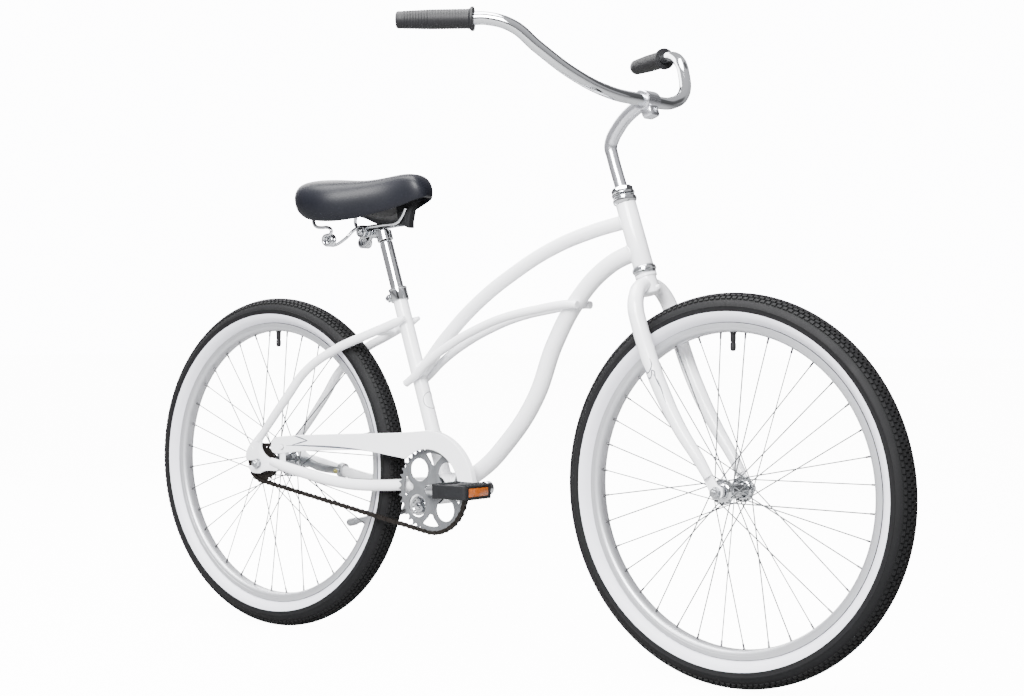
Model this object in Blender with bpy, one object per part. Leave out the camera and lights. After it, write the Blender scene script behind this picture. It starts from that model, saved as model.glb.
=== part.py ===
"""A single-speed beach cruiser bicycle, modelled as the separate pieces that it is put together from.

Sizes are in metres. +X points forwards, +Y to the rider's left and +Z up. The origin lies on the ground,
midway between the axles. At rest the wheels are straight, the right crank points forwards and the kickstand
is folded up.
"""

from math import asin, atan2, cos, degrees, pi, radians, sin, sqrt, tan, tau

import bmesh
import bpy
from mathutils import Vector

# Clearance between pieces that touch
fit = 0.0003

# Wheels
rim_radius = 0.286
tyre_radius = rim_radius + 0.0475
tyre_width = 0.054
tyre_wall = 0.004
tread_depth = 0.0055
tyre_seat_radius = rim_radius - 0.009
inner_tube_radius = 0.0185
valve_radius = 0.004
valve_length = 0.034
wheel_base = 2 * tyre_radius + 0.407
rim_depth = 0.022
rim_width = 0.031
rim_wall = 0.002
rim_floor = 0.003
spoke_count = 36
spoke_radius = 0.0011
spoke_crossings = 3
spoke_lean = 0.0004
wheel_sides = 24
hub_sides = 16

# Hubs and axles
front_hub_width = 0.1
rear_hub_width = 0.11
axle_radius = 0.00475
nut_radius = 0.0095
nut_thickness = 0.009
nut_washer = 0.0012
axle_past_nut = 0.004
hub_bore = 0.0095
front_flange_radius = 0.0225
front_flange_spread = 0.064
front_barrel_radius = 0.0135
rear_flange_radius = 0.03
rear_flange_spread = 0.058
rear_barrel_radius = 0.02
flange_thickness = 0.003
spoke_past_flange = 0.002
front_hub_past_flange = 0.006
rear_hub_past_flange = 0.0107

# Steering
headset_sides = 16
head_angle = radians(71.5)
fork_offset = 0.051
head_tube_low = tyre_radius + 0.0855
head_tube_high = head_tube_low + 0.116
head_tube_radius = 0.018
head_tube_bore = 0.0163
cup_radius = 0.0215
cup_height = 0.015
cup_skirt = 0.01
locknut_radius = 0.0175
locknut_height = 0.015
steerer_radius = 0.0127
steerer_bore = 0.0115
steerer_bore_bottom = head_tube_low + 0.011
crown_race_height = 0.005
crown_sleeve_radius = 0.017
crown_sleeve_height = 0.032
fork_spread = 0.057
fork_shoulder = tyre_radius - 0.0085
fork_arch_height = tyre_radius + 0.052
fork_arch_radius = 0.0122
blade_top_radius = 0.0143
blade_end_radius = 0.0095
blade_end = 0.03
fork_tab_thickness = 0.004
fork_tab_radius = 0.0125

# Stem and handlebar
quill_radius = 0.0111
quill_bottom = head_tube_low + 0.076
stem_bend = head_tube_high + 0.105
stem_rise = 0.049
stem_reach = 0.098
stem_limb_radius = 0.0125
clamp_radius = 0.0175
clamp_width = 0.04
bar_radius = 0.0111
bar_middle = 0.024
bar_half_width = 0.3575
bar_rise = 0.12
bar_sweep = 0.264
grip_length = 0.131
grip_radius = 0.0168
grip_end_radius = 0.0145
grip_flange_radius = 0.0205
grip_flange = 0.005
grip_wall_end = 0.004

# Frame
chain_stay_length = tyre_radius + 0.1152
bottom_bracket_drop = 0.0301
seat_angle = radians(71.8)
seat_tube_length = 0.3985
seat_tube_radius = 0.0143
top_tube_radius = 0.0127
top_tube_on_head = head_tube_high - 0.031
top_tube_on_seat = 0.2228
down_tube_radius = 0.0159
down_tube_on_head = head_tube_low + 0.0303
side_bar_radius = 0.00795
side_bar_spread = 0.021
side_bar_height = 0.648
side_bar_past_down_tube = 0.019
side_bar_on_seat = 0.207
side_bar_past_seat_tube = 0.021
shell_radius = 0.0285
shell_bore = 0.0256
shell_width = 0.068
shell_sides = 20
chain_stay_height = 0.022
chain_stay_width = 0.017
chain_stay_at_shell = 0.024
seat_stay_radius = 0.0088
seat_stay_spread = 0.021
seat_stay_on_seat = 0.334
seat_stay_past_seat_tube = 0.016
dropout_thickness = 0.004
stay_bridge_radius = 0.008
bridge_height = 2 * tyre_radius - 0.067
seat_collar_height = 0.024
seat_collar_wall = 0.0027
seat_bolt_radius = 0.004

# Bottom bracket, crank and pedals
crank_length = 0.152
crank_lift = radians(5)
crank_spindle_radius = 0.011
crank_cone_radius = 0.0155
crank_offset = 0.07
crank_thickness = 0.013
crank_height = 0.021
crank_boss_radius = 0.013
bracket_cup_lip = 0.003
bracket_cup_depth = 0.012
pedal_thread_radius = 0.007
pedal_axle_radius = 0.0055
pedal_collar_radius = 0.009
pedal_collar_width = 0.008
pedal_length = 0.08
pedal_width = 0.078
pedal_thickness = 0.027
pedal_neck = 0.017
pedal_bar = 0.011
pedal_barrel_radius = 0.0125
pedal_plate = 0.007

# Chain drive
chain_pitch = 0.0127
chain_line = 0.043
ring_teeth = 40
cog_teeth = 18
sprocket_thickness = 0.003
tooth_depth = 0.0044
tooth_height = 0.0026
tooth_root_width = 0.0048
ring_hole_radius = 0.0215
ring_hole_circle = 0.048
ring_slot_radius = 0.008
ring_slot_circle = 0.056
chain_height = 0.008
chain_width = 0.009
chain_gap = 0.0042
roller_width = 0.0052
ring_exit_count = 3  # chain links after each sprocket that its teeth still reach
cog_exit_count = 2

# Chain guard
guard_thickness = 0.0015
guard_depth = 0.0135
guard_face = 0.058
guard_nose_radius = 0.112
guard_cutout_radius = 0.077
guard_bolt_radius = 0.005
guard_tab_width = 0.016
guard_tab_thickness = 0.0022
guard_strap_width = 0.02
guard_strap_height = 0.399

# Coaster brake
brake_arm_length = 0.13
brake_arm_inner = 0.044
brake_arm_thickness = 0.004
brake_arm_boss = 0.013
brake_strap_wall = 0.002
brake_strap_width = 0.012

# Seat post and saddle
post_radius = 0.0127
post_length = 0.3
post_shown = 0.118
post_neck_radius = 0.0108
post_neck_length = 0.021
clamp_behind_post = 0.0325
clamp_bolt_radius = 0.004
clamp_block_width = 0.024
clamp_collar_wall = 0.0045
clamp_washer_radius = 0.012
clamp_washer_thickness = 0.005
clamp_bolt_past_washer = 0.006
rail_radius = 0.0035
rail_spread = 0.022
rail_over_bolt = 0.0085
spring_radius = 0.0095
spring_pitch = 0.0082
spring_turn_count = 2
spring_spread = 0.05
saddle_length = 0.273
saddle_half_width = 0.118
saddle_behind_bolt = 0.125
saddle_over_bolt = 0.103
saddle_wall = 0.011
saddle_foam_gap = 0.022
saddle_base_thickness = 0.0035
saddle_keel_half = 0.008

# Kickstand
kickstand_pivot = Vector((-0.1575, 0.025, 0.265))
kickstand_leg_radius = 0.006
kickstand_hub_radius = 0.0095
kickstand_hub_width = 0.013
kickstand_pin_radius = 0.005
kickstand_pin_length = 0.026
bracket_plate_length = 0.05
bracket_plate_thickness = 0.005
bracket_block_length = 0.032
bracket_block_width = 0.034

# Places worked out from those sizes
ACROSS = (pi / 2, 0, 0)  # turns a flat or turned piece so that its local Z points to the rider's right
front_axle = Vector((wheel_base / 2, 0, tyre_radius))
rear_axle = Vector((-wheel_base / 2, 0, tyre_radius))
steering_up = Vector((-cos(head_angle), 0, sin(head_angle)))
steering_forward = Vector((sin(head_angle), 0, cos(head_angle)))
steering_foot = front_axle - fork_offset * steering_forward
crank_reach = sqrt(chain_stay_length**2 - bottom_bracket_drop**2)
crank_axis = rear_axle + Vector((crank_reach, 0, -bottom_bracket_drop))
seat_up = Vector((-cos(seat_angle), 0, sin(seat_angle)))


# Building tools


def sided(radius, sides):
    """The corner radius of a polygon whose flats lie at this radius."""
    return radius / cos(pi / sides)


def clear_of(radius, sides):
    """The corner radius of a bore or a cutter that stays clear of a shaft of this radius."""
    return sided(radius + fit, sides)


def add_empty(name, location, rotation=(0, 0, 0), parent=None):
    """An axis or a joint that pieces hang on."""
    empty = bpy.data.objects.new(name, None)
    empty.empty_display_size = 0.03
    empty.location = location
    empty.rotation_euler = rotation
    empty.parent = parent
    bpy.context.scene.collection.objects.link(empty)
    return empty


def paint(obj, colour, roughness, metallic):
    """Gives a piece its own Principled material."""
    material = bpy.data.materials.new(obj.name)
    material.use_nodes = True
    shader = material.node_tree.nodes["Principled BSDF"]
    shader.inputs["Base Color"].default_value = (*colour, 1)
    shader.inputs["Roughness"].default_value = roughness
    shader.inputs["Metallic"].default_value = metallic
    obj.data.materials.clear()
    obj.data.materials.append(material)


WHITE_PAINT = ((0.86, 0.86, 0.88), 0.25, 0.0)
CHROME = ((0.72, 0.73, 0.76), 0.12, 1.0)
STEEL = ((0.5, 0.5, 0.52), 0.35, 1.0)
DARK_STEEL = ((0.03, 0.028, 0.027), 0.45, 0.6)
ALUMINIUM = ((0.62, 0.62, 0.63), 0.35, 1.0)
RUBBER = ((0.012, 0.012, 0.012), 0.75, 0.0)
VINYL = ((0.02, 0.02, 0.024), 0.4, 0.0)
PLASTIC = ((0.015, 0.015, 0.016), 0.5, 0.0)


def add_piece(name, mesh, finish, parent=None, location=(0, 0, 0), rotation=(0, 0, 0)):
    """Puts a mesh in the scene as one sub-part."""
    mesh.name = name
    obj = bpy.data.objects.new(name, mesh)
    obj.location = location
    obj.rotation_euler = rotation
    obj.parent = parent
    bpy.context.scene.collection.objects.link(obj)
    paint(obj, *finish)
    return obj


def add_tool(mesh, parent=None, location=(0, 0, 0), rotation=(0, 0, 0)):
    """A hidden shape that is cut from a piece or joined to it."""
    obj = bpy.data.objects.new("tool", mesh)
    obj.location = location
    obj.rotation_euler = rotation
    obj.parent = parent
    obj.hide_render = True
    obj.display_type = "WIRE"
    bpy.context.scene.collection.objects.link(obj)
    return obj


def combine(target, operation, tools):
    """Cuts the tools from the target, or joins them to it."""
    for tool in tools:
        modifier = target.modifiers.new(operation.title(), "BOOLEAN")
        modifier.operation = operation
        modifier.solver = "EXACT"
        modifier.object = tool


def finished(bm):
    """The mesh of a closed body: faces pointing out, round sides shaded smooth."""
    bmesh.ops.recalc_face_normals(bm, faces=bm.faces)
    mesh = bpy.data.meshes.new("shape")
    bm.to_mesh(mesh)
    bm.free()
    mesh.shade_smooth()
    mesh.set_sharp_from_angle(angle=radians(40))
    return mesh


def skin(rings, closed=False):
    """A body through rings of points. It is capped at both ends, or closed into a loop."""
    bm = bmesh.new()
    rows = [[bm.verts.new(point) for point in ring] for ring in rings]
    count = len(rows[0])
    pairs = list(zip(rows, rows[1:]))
    if closed:
        pairs.append((rows[-1], rows[0]))
    for near, far in pairs:
        for i in range(count):
            j = (i + 1) % count
            bm.faces.new((near[i], near[j], far[j], far[i]))
    if not closed:
        bm.faces.new(rows[0])
        bm.faces.new(rows[-1])
    return finished(bm)


def tube(path, sizes, sides, side_way=(0, 1, 0)):
    """A tube along a path. A size is a radius, or (half width along side_way, half height)."""
    if not isinstance(sizes, list):
        sizes = [sizes] * len(path)
    path = [Vector(point) for point in path]
    across = Vector(side_way)
    if abs((path[1] - path[0]).normalized().dot(across)) > 0.99:
        across = Vector((across.y, across.z, across.x))
    rings = []
    for i, (point, size) in enumerate(zip(path, sizes)):
        before = path[max(i - 1, 0)]
        after = path[min(i + 1, len(path) - 1)]
        here = (point - before).normalized() + (after - point).normalized()
        here.normalize()
        across = (across - across.dot(here) * here).normalized()
        up = here.cross(across)
        width, height = size if isinstance(size, tuple) else (size, size)
        angles = [(k + 0.5) * tau / sides for k in range(sides)]
        rings.append([point + width * cos(a) * across + height * sin(a) * up for a in angles])
    return skin(rings)


def turned(profile, sides):
    """A body turned about local Z from (radius, height) points. A radius of 0 lies on the axis."""
    bm = bmesh.new()
    angles = [(k + 0.5) * tau / sides for k in range(sides)]
    rows = []
    for radius, height in profile:
        if radius == 0:
            rows.append([bm.verts.new((0, 0, height))])
        else:
            rows.append([bm.verts.new((radius * cos(a), radius * sin(a), height)) for a in angles])
    pairs = list(zip(rows, rows[1:]))
    if profile[0][0] > 0:
        pairs.append((rows[-1], rows[0]))
    for near, far in pairs:
        for i in range(sides):
            j = (i + 1) % sides
            corners = [near[i % len(near)], near[j % len(near)], far[j % len(far)], far[i % len(far)]]
            corners = [v for k, v in enumerate(corners) if v not in corners[:k]]
            if len(corners) > 2:
                bm.faces.new(corners)
    return finished(bm)


def plate(outline, thickness, holes=()):
    """A flat plate in local XY, with its holes, from an outline of points."""
    curve = bpy.data.curves.new("plate", "CURVE")
    curve.dimensions = "2D"
    curve.fill_mode = "BOTH"
    curve.extrude = thickness / 2
    for loop in (outline, *holes):
        spline = curve.splines.new("POLY")
        spline.points.add(len(loop) - 1)
        spline.use_cyclic_u = True
        for target, (x, y) in zip(spline.points, loop):
            target.co = (x, y, 0, 1)
    obj = bpy.data.objects.new("plate", curve)
    bpy.context.scene.collection.objects.link(obj)
    graph = bpy.context.evaluated_depsgraph_get()
    flat = bpy.data.meshes.new_from_object(obj.evaluated_get(graph))
    bpy.data.objects.remove(obj)
    bm = bmesh.new()
    bm.from_mesh(flat)
    bmesh.ops.remove_doubles(bm, verts=bm.verts, dist=1e-6)
    return finished(bm)


def block(low, high):
    """A box between two corners."""
    corners = [Vector(low), Vector(high)]
    bm = bmesh.new()
    bmesh.ops.create_cube(bm, size=1)
    bmesh.ops.scale(bm, vec=corners[1] - corners[0], verts=bm.verts)
    bmesh.ops.translate(bm, vec=(corners[0] + corners[1]) / 2, verts=bm.verts)
    return finished(bm)


def arc(centre, radius, start, end, steps):
    """Points round part of a circle, from one angle to another in degrees."""
    turns = [radians(start + (end - start) * k / steps) for k in range(steps + 1)]
    return [(centre[0] + radius * cos(a), centre[1] + radius * sin(a)) for a in turns]


def smooth(points, steps):
    """A curve through the points, with this many steps between each two."""
    points = [Vector(point) for point in points]
    ends = [2 * points[0] - points[1], *points, 2 * points[-1] - points[-2]]
    curve = []
    for a, b, c, d in zip(ends, ends[1:], ends[2:], ends[3:]):
        for k in range(steps):
            t = k / steps
            bend = (2 * a - 5 * b + 4 * c - d) * t**2 + (3 * b - a - 3 * c + d) * t**3
            curve.append((2 * b + (c - a) * t + bend) / 2)
    curve.append(points[-1])
    return curve


def bowed(start, end, bows):
    """A tube's route. Each bow is (share of the way, rise above the straight line, distance to the side)."""
    way = Vector((end.x - start.x, 0, end.z - start.z))
    rise = Vector((-way.z, 0, way.x)).normalized()
    if rise.z < 0:
        rise = -rise
    route = [start]
    for share, height, side in bows:
        point = start + share * way + height * rise
        point.y = side
        route.append(point)
    return [*route, end]


def mirrored(points):
    """The same points on the rider's other side."""
    return [Vector((p[0], -p[1], p[2])) for p in points]


def on_seat_tube(distance):
    """The point this far up the seat tube from the crank axis."""
    return crank_axis + distance * seat_up


def on_head_tube(distance):
    """The point this far up the steering axis from its foot."""
    return steering_foot + distance * steering_up


for old in list(bpy.data.objects):
    bpy.data.objects.remove(old)

SIDES = (("right", -1), ("left", 1))


# Joints: each moving body hangs on an empty that stands on its axis

steering = add_empty("steering_axis", steering_foot, (0, head_angle - pi / 2, 0))
front_wheel = add_empty("front_wheel_axis", (fork_offset, 0, 0), (pi / 2, pi / 2 - head_angle, 0), steering)
rear_wheel = add_empty("rear_wheel_axis", rear_axle, ACROSS)
crank_turn = add_empty("crank_axis", crank_axis, ACROSS)
stem_slide = add_empty("stem_axis", (0, 0, 0), (0, 0, 0), steering)
clamp_centre = Vector((stem_reach, 0, stem_bend + stem_rise))
bar_turn = add_empty("handlebar_axis", clamp_centre, (0, pi / 2 - head_angle, 0), stem_slide)
post_slide = add_empty("seat_post_axis", crank_axis, (0, seat_angle - pi / 2, 0))
post_top = seat_tube_length + post_shown
saddle_bolt = Vector((on_seat_tube(post_top).x - clamp_behind_post, 0, on_seat_tube(post_top).z))
saddle_turn = add_empty("saddle_axis", saddle_bolt)


# Wheels


def ring_profile(points):
    """Profile points whose flats lie at the stated radii, for the many-sided rings of a wheel."""
    return [(sided(radius, wheel_sides), height) for radius, height in points]


def both_edges(half):
    """A profile round a wheel's middle plane, from its points on one side."""
    return half + [(radius, -height) for radius, height in reversed(half)]


def tyre_mesh():
    """An open tyre: beads, bulging side walls and a tread, with room inside for the tube."""
    half = tyre_width / 2
    crown = tyre_radius - half
    bead = rim_width / 2 - rim_wall - fit
    outer = [
        (tyre_seat_radius, bead - 0.0004),
        (rim_radius + 0.0008, bead - 0.0002),
        (crown - 0.3 * half, 0.95 * half),
        (crown + 0.48 * half, 0.88 * half),
        (tyre_radius, 0.26 * half),
    ]
    inner = [
        (tyre_radius - tread_depth, 0.22 * half),
        (crown, half - tyre_wall),
        (tyre_seat_radius, bead - tyre_wall),
    ]
    under = [(radius, -height) for radius, height in reversed(inner)]
    return turned(ring_profile([*both_edges(outer), *under, *inner]), wheel_sides)


def rim_mesh():
    """The rim: a floor that the spokes pull on, and two side walls that hold the tyre's beads."""
    half = rim_width / 2
    low = rim_radius - rim_depth
    floor = low + rim_floor
    outer = both_edges([(low, 0.45 * half), (low + 0.28 * rim_depth, half - 0.001), (rim_radius, half)])
    inner_bend = (low + 0.34 * rim_depth, half - rim_wall - fit)
    inner = [(rim_radius, half - rim_wall), inner_bend, (floor, 0.33 * half)]
    return turned(ring_profile([*outer[:3], *both_edges(inner), *outer[3:]]), wheel_sides)


def inner_tube_mesh():
    """The tube that holds the air."""
    centre = tyre_radius - tyre_width / 2
    section = arc((centre, 0), inner_tube_radius, 0, 270, 3)
    return turned(ring_profile(section), wheel_sides)


def add_spokes(name, parent, side, flange_radius, flange_height):
    """One flange's spokes. Leading and trailing ones cross and lean on each other, so they are one piece."""
    per_side = spoke_count // 2
    step = tau / per_side
    first = radians(5) + (tau / spoke_count if side < 0 else 0)
    swing = spoke_crossings * 2 * tau / spoke_count
    rim_end = rim_radius - rim_depth - 2 * fit
    hub_height = -side * flange_height
    groups = []
    for sense in (1, -1):
        spokes = bmesh.new()
        for k in range(per_side // 2):
            at_rim = first + step * (2 * k + (sense < 0))
            at_hub = at_rim + sense * swing
            lean = -side * spoke_lean * (sense < 0)
            hub_end = (flange_radius * cos(at_hub), flange_radius * sin(at_hub), hub_height + lean)
            far_end = (rim_end * cos(at_rim), rim_end * sin(at_rim), lean - side * 2 * spoke_radius)
            one = tube([hub_end, far_end], sided(spoke_radius, 4), 3, (0, 0, 1))
            spokes.from_mesh(one)
            bpy.data.meshes.remove(one)
        groups.append(finished(spokes))
    piece = add_piece(name, groups[0], STEEL, parent)
    combine(piece, "UNION", [add_tool(groups[1], parent)])


def add_valve(piece, parent):
    """The valve stem, which stands on the tube and passes through the rim."""
    top = tyre_radius - tyre_width / 2 - inner_tube_radius + 0.004
    foot = rim_radius - rim_depth - valve_length
    combine(piece, "UNION", [add_tool(tube([(0, top, 0), (0, foot, 0)], valve_radius, 6), parent)])


def add_valve_hole(rim, parent):
    """The hole in the rim's floor that the valve passes through."""
    ends = [(0, rim_radius, 0), (0, rim_radius - rim_depth - 0.01, 0)]
    combine(rim, "DIFFERENCE", [add_tool(tube(ends, clear_of(valve_radius, 6), 6), parent)])


def hub_mesh(flange_radius, flange_spread, barrel_radius, past_flange):
    """A hub shell with a flange for the spokes at each end of its barrel."""
    flange_out = flange_spread / 2 + flange_thickness / 2
    flange_in = flange_spread / 2 - flange_thickness / 2
    end = flange_out + past_flange
    half = [
        (hub_bore, end),
        (0.85 * barrel_radius, end),
        (flange_radius, flange_out),
        (flange_radius, flange_in),
        (barrel_radius, flange_in - 0.004),
    ]
    return turned(both_edges(half), hub_sides)


def axle_mesh(hub_width, tab, hub_end):
    """An axle with its bearing cones, which run inside the hub, and its lock nuts against the fork ends."""
    seat = hub_width / 2 - fit
    end = hub_width / 2 + tab + nut_washer + nut_thickness + axle_past_nut
    half = [
        (0, end),
        (axle_radius, end),
        (axle_radius, seat),
        (1.6 * axle_radius, seat),
        (hub_bore * cos(pi / hub_sides) - fit, hub_end),
        (axle_radius, hub_end - 0.014),
    ]
    return turned(both_edges(half), 8)


def add_axle_nuts(axle, parent, hub_width, tab):
    """A six-sided nut with its washer at each end of an axle."""
    for side in (-1, 1):
        inner = hub_width / 2 + tab + 2 * fit
        washer_end = inner + nut_washer
        ends = [(0, 0, side * z) for z in (inner, washer_end, washer_end, washer_end + nut_thickness)]
        sizes = [1.15 * nut_radius, 1.15 * nut_radius, nut_radius, nut_radius]
        combine(axle, "UNION", [add_tool(tube(ends, sizes, 6), parent)])


def add_wheel(end, parent, flange_radius, flange_spread, hub, meshes):
    """A wheel's rotating pieces, about local Z."""
    tyre, rim, tube_mesh = meshes
    add_piece(f"{end}_tyre", tyre.copy(), RUBBER, parent)
    rim_piece = add_piece(f"{end}_rim", rim.copy(), ALUMINIUM, parent)
    add_valve_hole(rim_piece, parent)
    tube_piece = add_piece(f"{end}_inner_tube", tube_mesh.copy(), RUBBER, parent)
    add_valve(tube_piece, parent)
    add_piece(f"{end}_hub", hub, CHROME, parent)
    for name, side in SIDES:
        add_spokes(f"{end}_spokes_{name}", parent, side, flange_radius + spoke_past_flange, flange_spread / 2)


wheel_meshes = (tyre_mesh(), rim_mesh(), inner_tube_mesh())
front_hub = hub_mesh(front_flange_radius, front_flange_spread, front_barrel_radius, front_hub_past_flange)
rear_hub = hub_mesh(rear_flange_radius, rear_flange_spread, rear_barrel_radius, rear_hub_past_flange)
add_wheel("front", front_wheel, front_flange_radius, front_flange_spread, front_hub, wheel_meshes)
add_wheel("rear", rear_wheel, rear_flange_radius, rear_flange_spread, rear_hub, wheel_meshes)

front_hub_end = front_flange_spread / 2 + flange_thickness / 2 + front_hub_past_flange
front_axle_mesh = axle_mesh(front_hub_width, fork_tab_thickness, front_hub_end)
front_axle_piece = add_piece("front_axle", front_axle_mesh, STEEL, front_wheel)
add_axle_nuts(front_axle_piece, front_wheel, front_hub_width, fork_tab_thickness)

rear_hub_end = rear_flange_spread / 2 + flange_thickness / 2 + rear_hub_past_flange
rear_axle_mesh = axle_mesh(rear_hub_width, dropout_thickness, rear_hub_end)
rear_axle_piece = add_piece("rear_axle", rear_axle_mesh, STEEL, rear_wheel)
add_axle_nuts(rear_axle_piece, rear_wheel, rear_hub_width, dropout_thickness)


# Frame tubes

head_low = on_head_tube(head_tube_low)
head_high = on_head_tube(head_tube_high)
head_path = [head_low - 0.05 * steering_up, head_high + 0.05 * steering_up]
seat_path = [on_seat_tube(-0.02), on_seat_tube(seat_tube_length + 0.02)]
shell_path = [crank_axis + Vector((0, shell_width, 0)), crank_axis - Vector((0, shell_width, 0))]

top_bows = [
    (0.145, 0.0265, 0),
    (0.299, 0.0455, 0),
    (0.472, 0.0522, 0),
    (0.662, 0.0476, 0),
    (0.82, 0.0309, 0),
    (0.941, 0.0106, 0),
]
top_route = bowed(on_head_tube(top_tube_on_head), on_seat_tube(top_tube_on_seat), top_bows)
down_bows = [
    (0.104, 0.0265, 0),
    (0.244, 0.0325, 0),
    (0.392, 0.014, 0),
    (0.563, -0.0261, 0),
    (0.736, -0.0379, 0),
    (0.871, -0.0306, 0),
]
down_route = bowed(on_head_tube(down_tube_on_head), crank_axis, down_bows)

add_piece(
    "head_tube",
    turned(
        [
            (head_tube_radius, head_tube_low),
            (head_tube_radius, head_tube_high),
            (head_tube_bore, head_tube_high),
            (head_tube_bore, head_tube_low),
        ],
        headset_sides,
    ),
    WHITE_PAINT,
    None,
    steering_foot,
    (0, head_angle - pi / 2, 0),
)


def add_shell():
    """The bottom bracket shell that the lower tubes meet in."""
    half = shell_width / 2
    profile = [(shell_radius, half), (shell_bore, half), (shell_bore, -half), (shell_radius, -half)]
    add_piece("bottom_bracket_shell", turned(profile, shell_sides), WHITE_PAINT, None, crank_axis, ACROSS)


def add_frame_tube(name, route, size, sides, neighbours):
    """A white tube, shaped at its ends to the tubes that it is welded to: (route, radius) of each."""
    piece = add_piece(name, tube(route, size, sides), WHITE_PAINT)
    for path, radius in neighbours:
        combine(piece, "DIFFERENCE", [add_tool(tube(path, clear_of(radius, 20), 20))])
    return piece


add_shell()
head_cut = (head_path, head_tube_radius)
seat_cut = (seat_path, seat_tube_radius)
shell_cut = (shell_path, shell_radius)
add_frame_tube("top_tube", top_route, top_tube_radius, 10, [head_cut, seat_cut])
add_frame_tube("down_tube", down_route, down_tube_radius, 10, [head_cut, shell_cut])
seat_route = [on_seat_tube(0), on_seat_tube(seat_tube_length)]
seat_tube = add_frame_tube("seat_tube", seat_route, seat_tube_radius, 16, [shell_cut])
combine(seat_tube, "DIFFERENCE", [add_tool(tube(seat_path, clear_of(post_radius, 16), 16))])


def crossing(route, axis, value):
    """The point where a route first passes this value along an axis (0, 1 or 2)."""
    for a, b in zip(route, route[1:]):
        if min(a[axis], b[axis]) <= value <= max(a[axis], b[axis]):
            return a.lerp(b, (value - a[axis]) / (b[axis] - a[axis]))
    return route[-1]


bar_front = crossing(down_route, 2, side_bar_height) + Vector((side_bar_past_down_tube, 0, 0))
bar_rear = on_seat_tube(side_bar_on_seat) - Vector((side_bar_past_seat_tube, 0, 0))
bar_bows = [
    (0.034, 0.0065),
    (0.205, 0.0239),
    (0.386, 0.0363),
    (0.533, 0.0382),
    (0.691, 0.0333),
    (0.841, 0.0207),
    (0.946, 0.0053),
]
for name, side in SIDES:
    spread = Vector((0, side * side_bar_spread, 0))
    bows = [(share, rise, side * side_bar_spread) for share, rise in bar_bows]
    route = bowed(bar_front + spread, bar_rear + spread, bows)
    sizes = [side_bar_radius] * len(route)
    sizes[0] = 0.5 * side_bar_radius
    sizes[-1] = 0.5 * side_bar_radius
    neighbours = [(down_route, down_tube_radius), (top_route, top_tube_radius), seat_cut]
    add_frame_tube(f"side_bar_{name}", route, sizes, 10, neighbours)


# Rear triangle

dropout_middle = rear_hub_width / 2 + dropout_thickness / 2 + fit
slot = clear_of(axle_radius, 8)
dropout_outline = [
    (0.0328, 0.0768),
    (0.0252, 0.0832),
    (-0.008, 0.053),
    (-0.023, 0.038),
    (-0.033, 0.024),
    (-0.036, 0.013),
    (-0.034, slot),
    *arc((0, 0), slot, 90, -90, 4),
    (-0.03, -slot),
    (-0.024, -0.014),
    (-0.014, -0.02),
    (0.006, -0.02),
    (0.016, -0.015),
    (0.032, -0.013),
    (0.056, -0.013),
    (0.056, 0.005),
    (0.036, 0.01),
    (0.024, 0.0155),
    (0.0155, 0.022),
    (0.0095, 0.031),
    (0.009, 0.042),
    (0.013, 0.052),
]


def grown(outline, amount):
    """An outline moved outwards, for the slot that a plate fits in."""
    area = sum(a[0] * b[1] - b[0] * a[1] for a, b in zip(outline, outline[1:] + outline[:1]))
    turn = 1 if area > 0 else -1
    moved = []
    for before, here, after in zip(outline[-1:] + outline, outline, outline[1:] + outline[:1]):
        one = Vector((here[0] - before[0], here[1] - before[1])).normalized()
        two = Vector((after[0] - here[0], after[1] - here[1])).normalized()
        way = one + two
        out = turn * Vector((way.y, -way.x)).normalized()
        moved.append((here[0] + amount * out.x, here[1] + amount * out.y))
    return moved


for name, side in SIDES:
    place = rear_axle + Vector((0, side * dropout_middle, 0))
    add_piece(f"dropout_{name}", plate(dropout_outline, dropout_thickness), WHITE_PAINT, None, place, ACROSS)


def dropout_slot(side):
    """The slot in a stay that the rear dropout is welded in."""
    shape = plate(grown(dropout_outline, 2 * fit), dropout_thickness + 2 * fit)
    return add_tool(shape, None, rear_axle + Vector((0, side * dropout_middle, 0)), ACROSS)


def chain_stay_route(side):
    """A chain stay leaves the shell close in, clears the tyre and ends on the dropout."""
    start = rear_axle + Vector((0.036, side * dropout_middle, 0.0055))
    end = crank_axis + Vector((0, side * chain_stay_at_shell, 0))
    bows = [
        (0.1, -0.0065, 0.0555),
        (0.211, -0.0115, 0.052),
        (0.417, -0.0182, 0.0465),
        (0.56, -0.0165, 0.0415),
        (0.706, -0.0089, 0.0355),
        (0.833, -0.0013, 0.0268),
    ]
    return bowed(start, end, [(share, rise, side * y) for share, rise, y in bows])


def seat_stay_route(side):
    """A seat stay runs from beside the seat tube, over the tyre, down to the dropout."""
    past_tube = Vector((seat_stay_past_seat_tube, side * seat_stay_spread, 0.005))
    start = on_seat_tube(seat_stay_on_seat) + past_tube
    end = rear_axle + Vector((0.001, side * dropout_middle, 0.046))
    bows = [
        (0.052, 0.0055, 0.021),
        (0.217, 0.0235, 0.033),
        (0.391, 0.0415, 0.042),
        (0.577, 0.0465, 0.05),
        (0.742, 0.029, 0.0555),
        (0.876, 0.0145, dropout_middle),
    ]
    return bowed(start, end, [(share, rise, side * y) for share, rise, y in bows])


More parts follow.
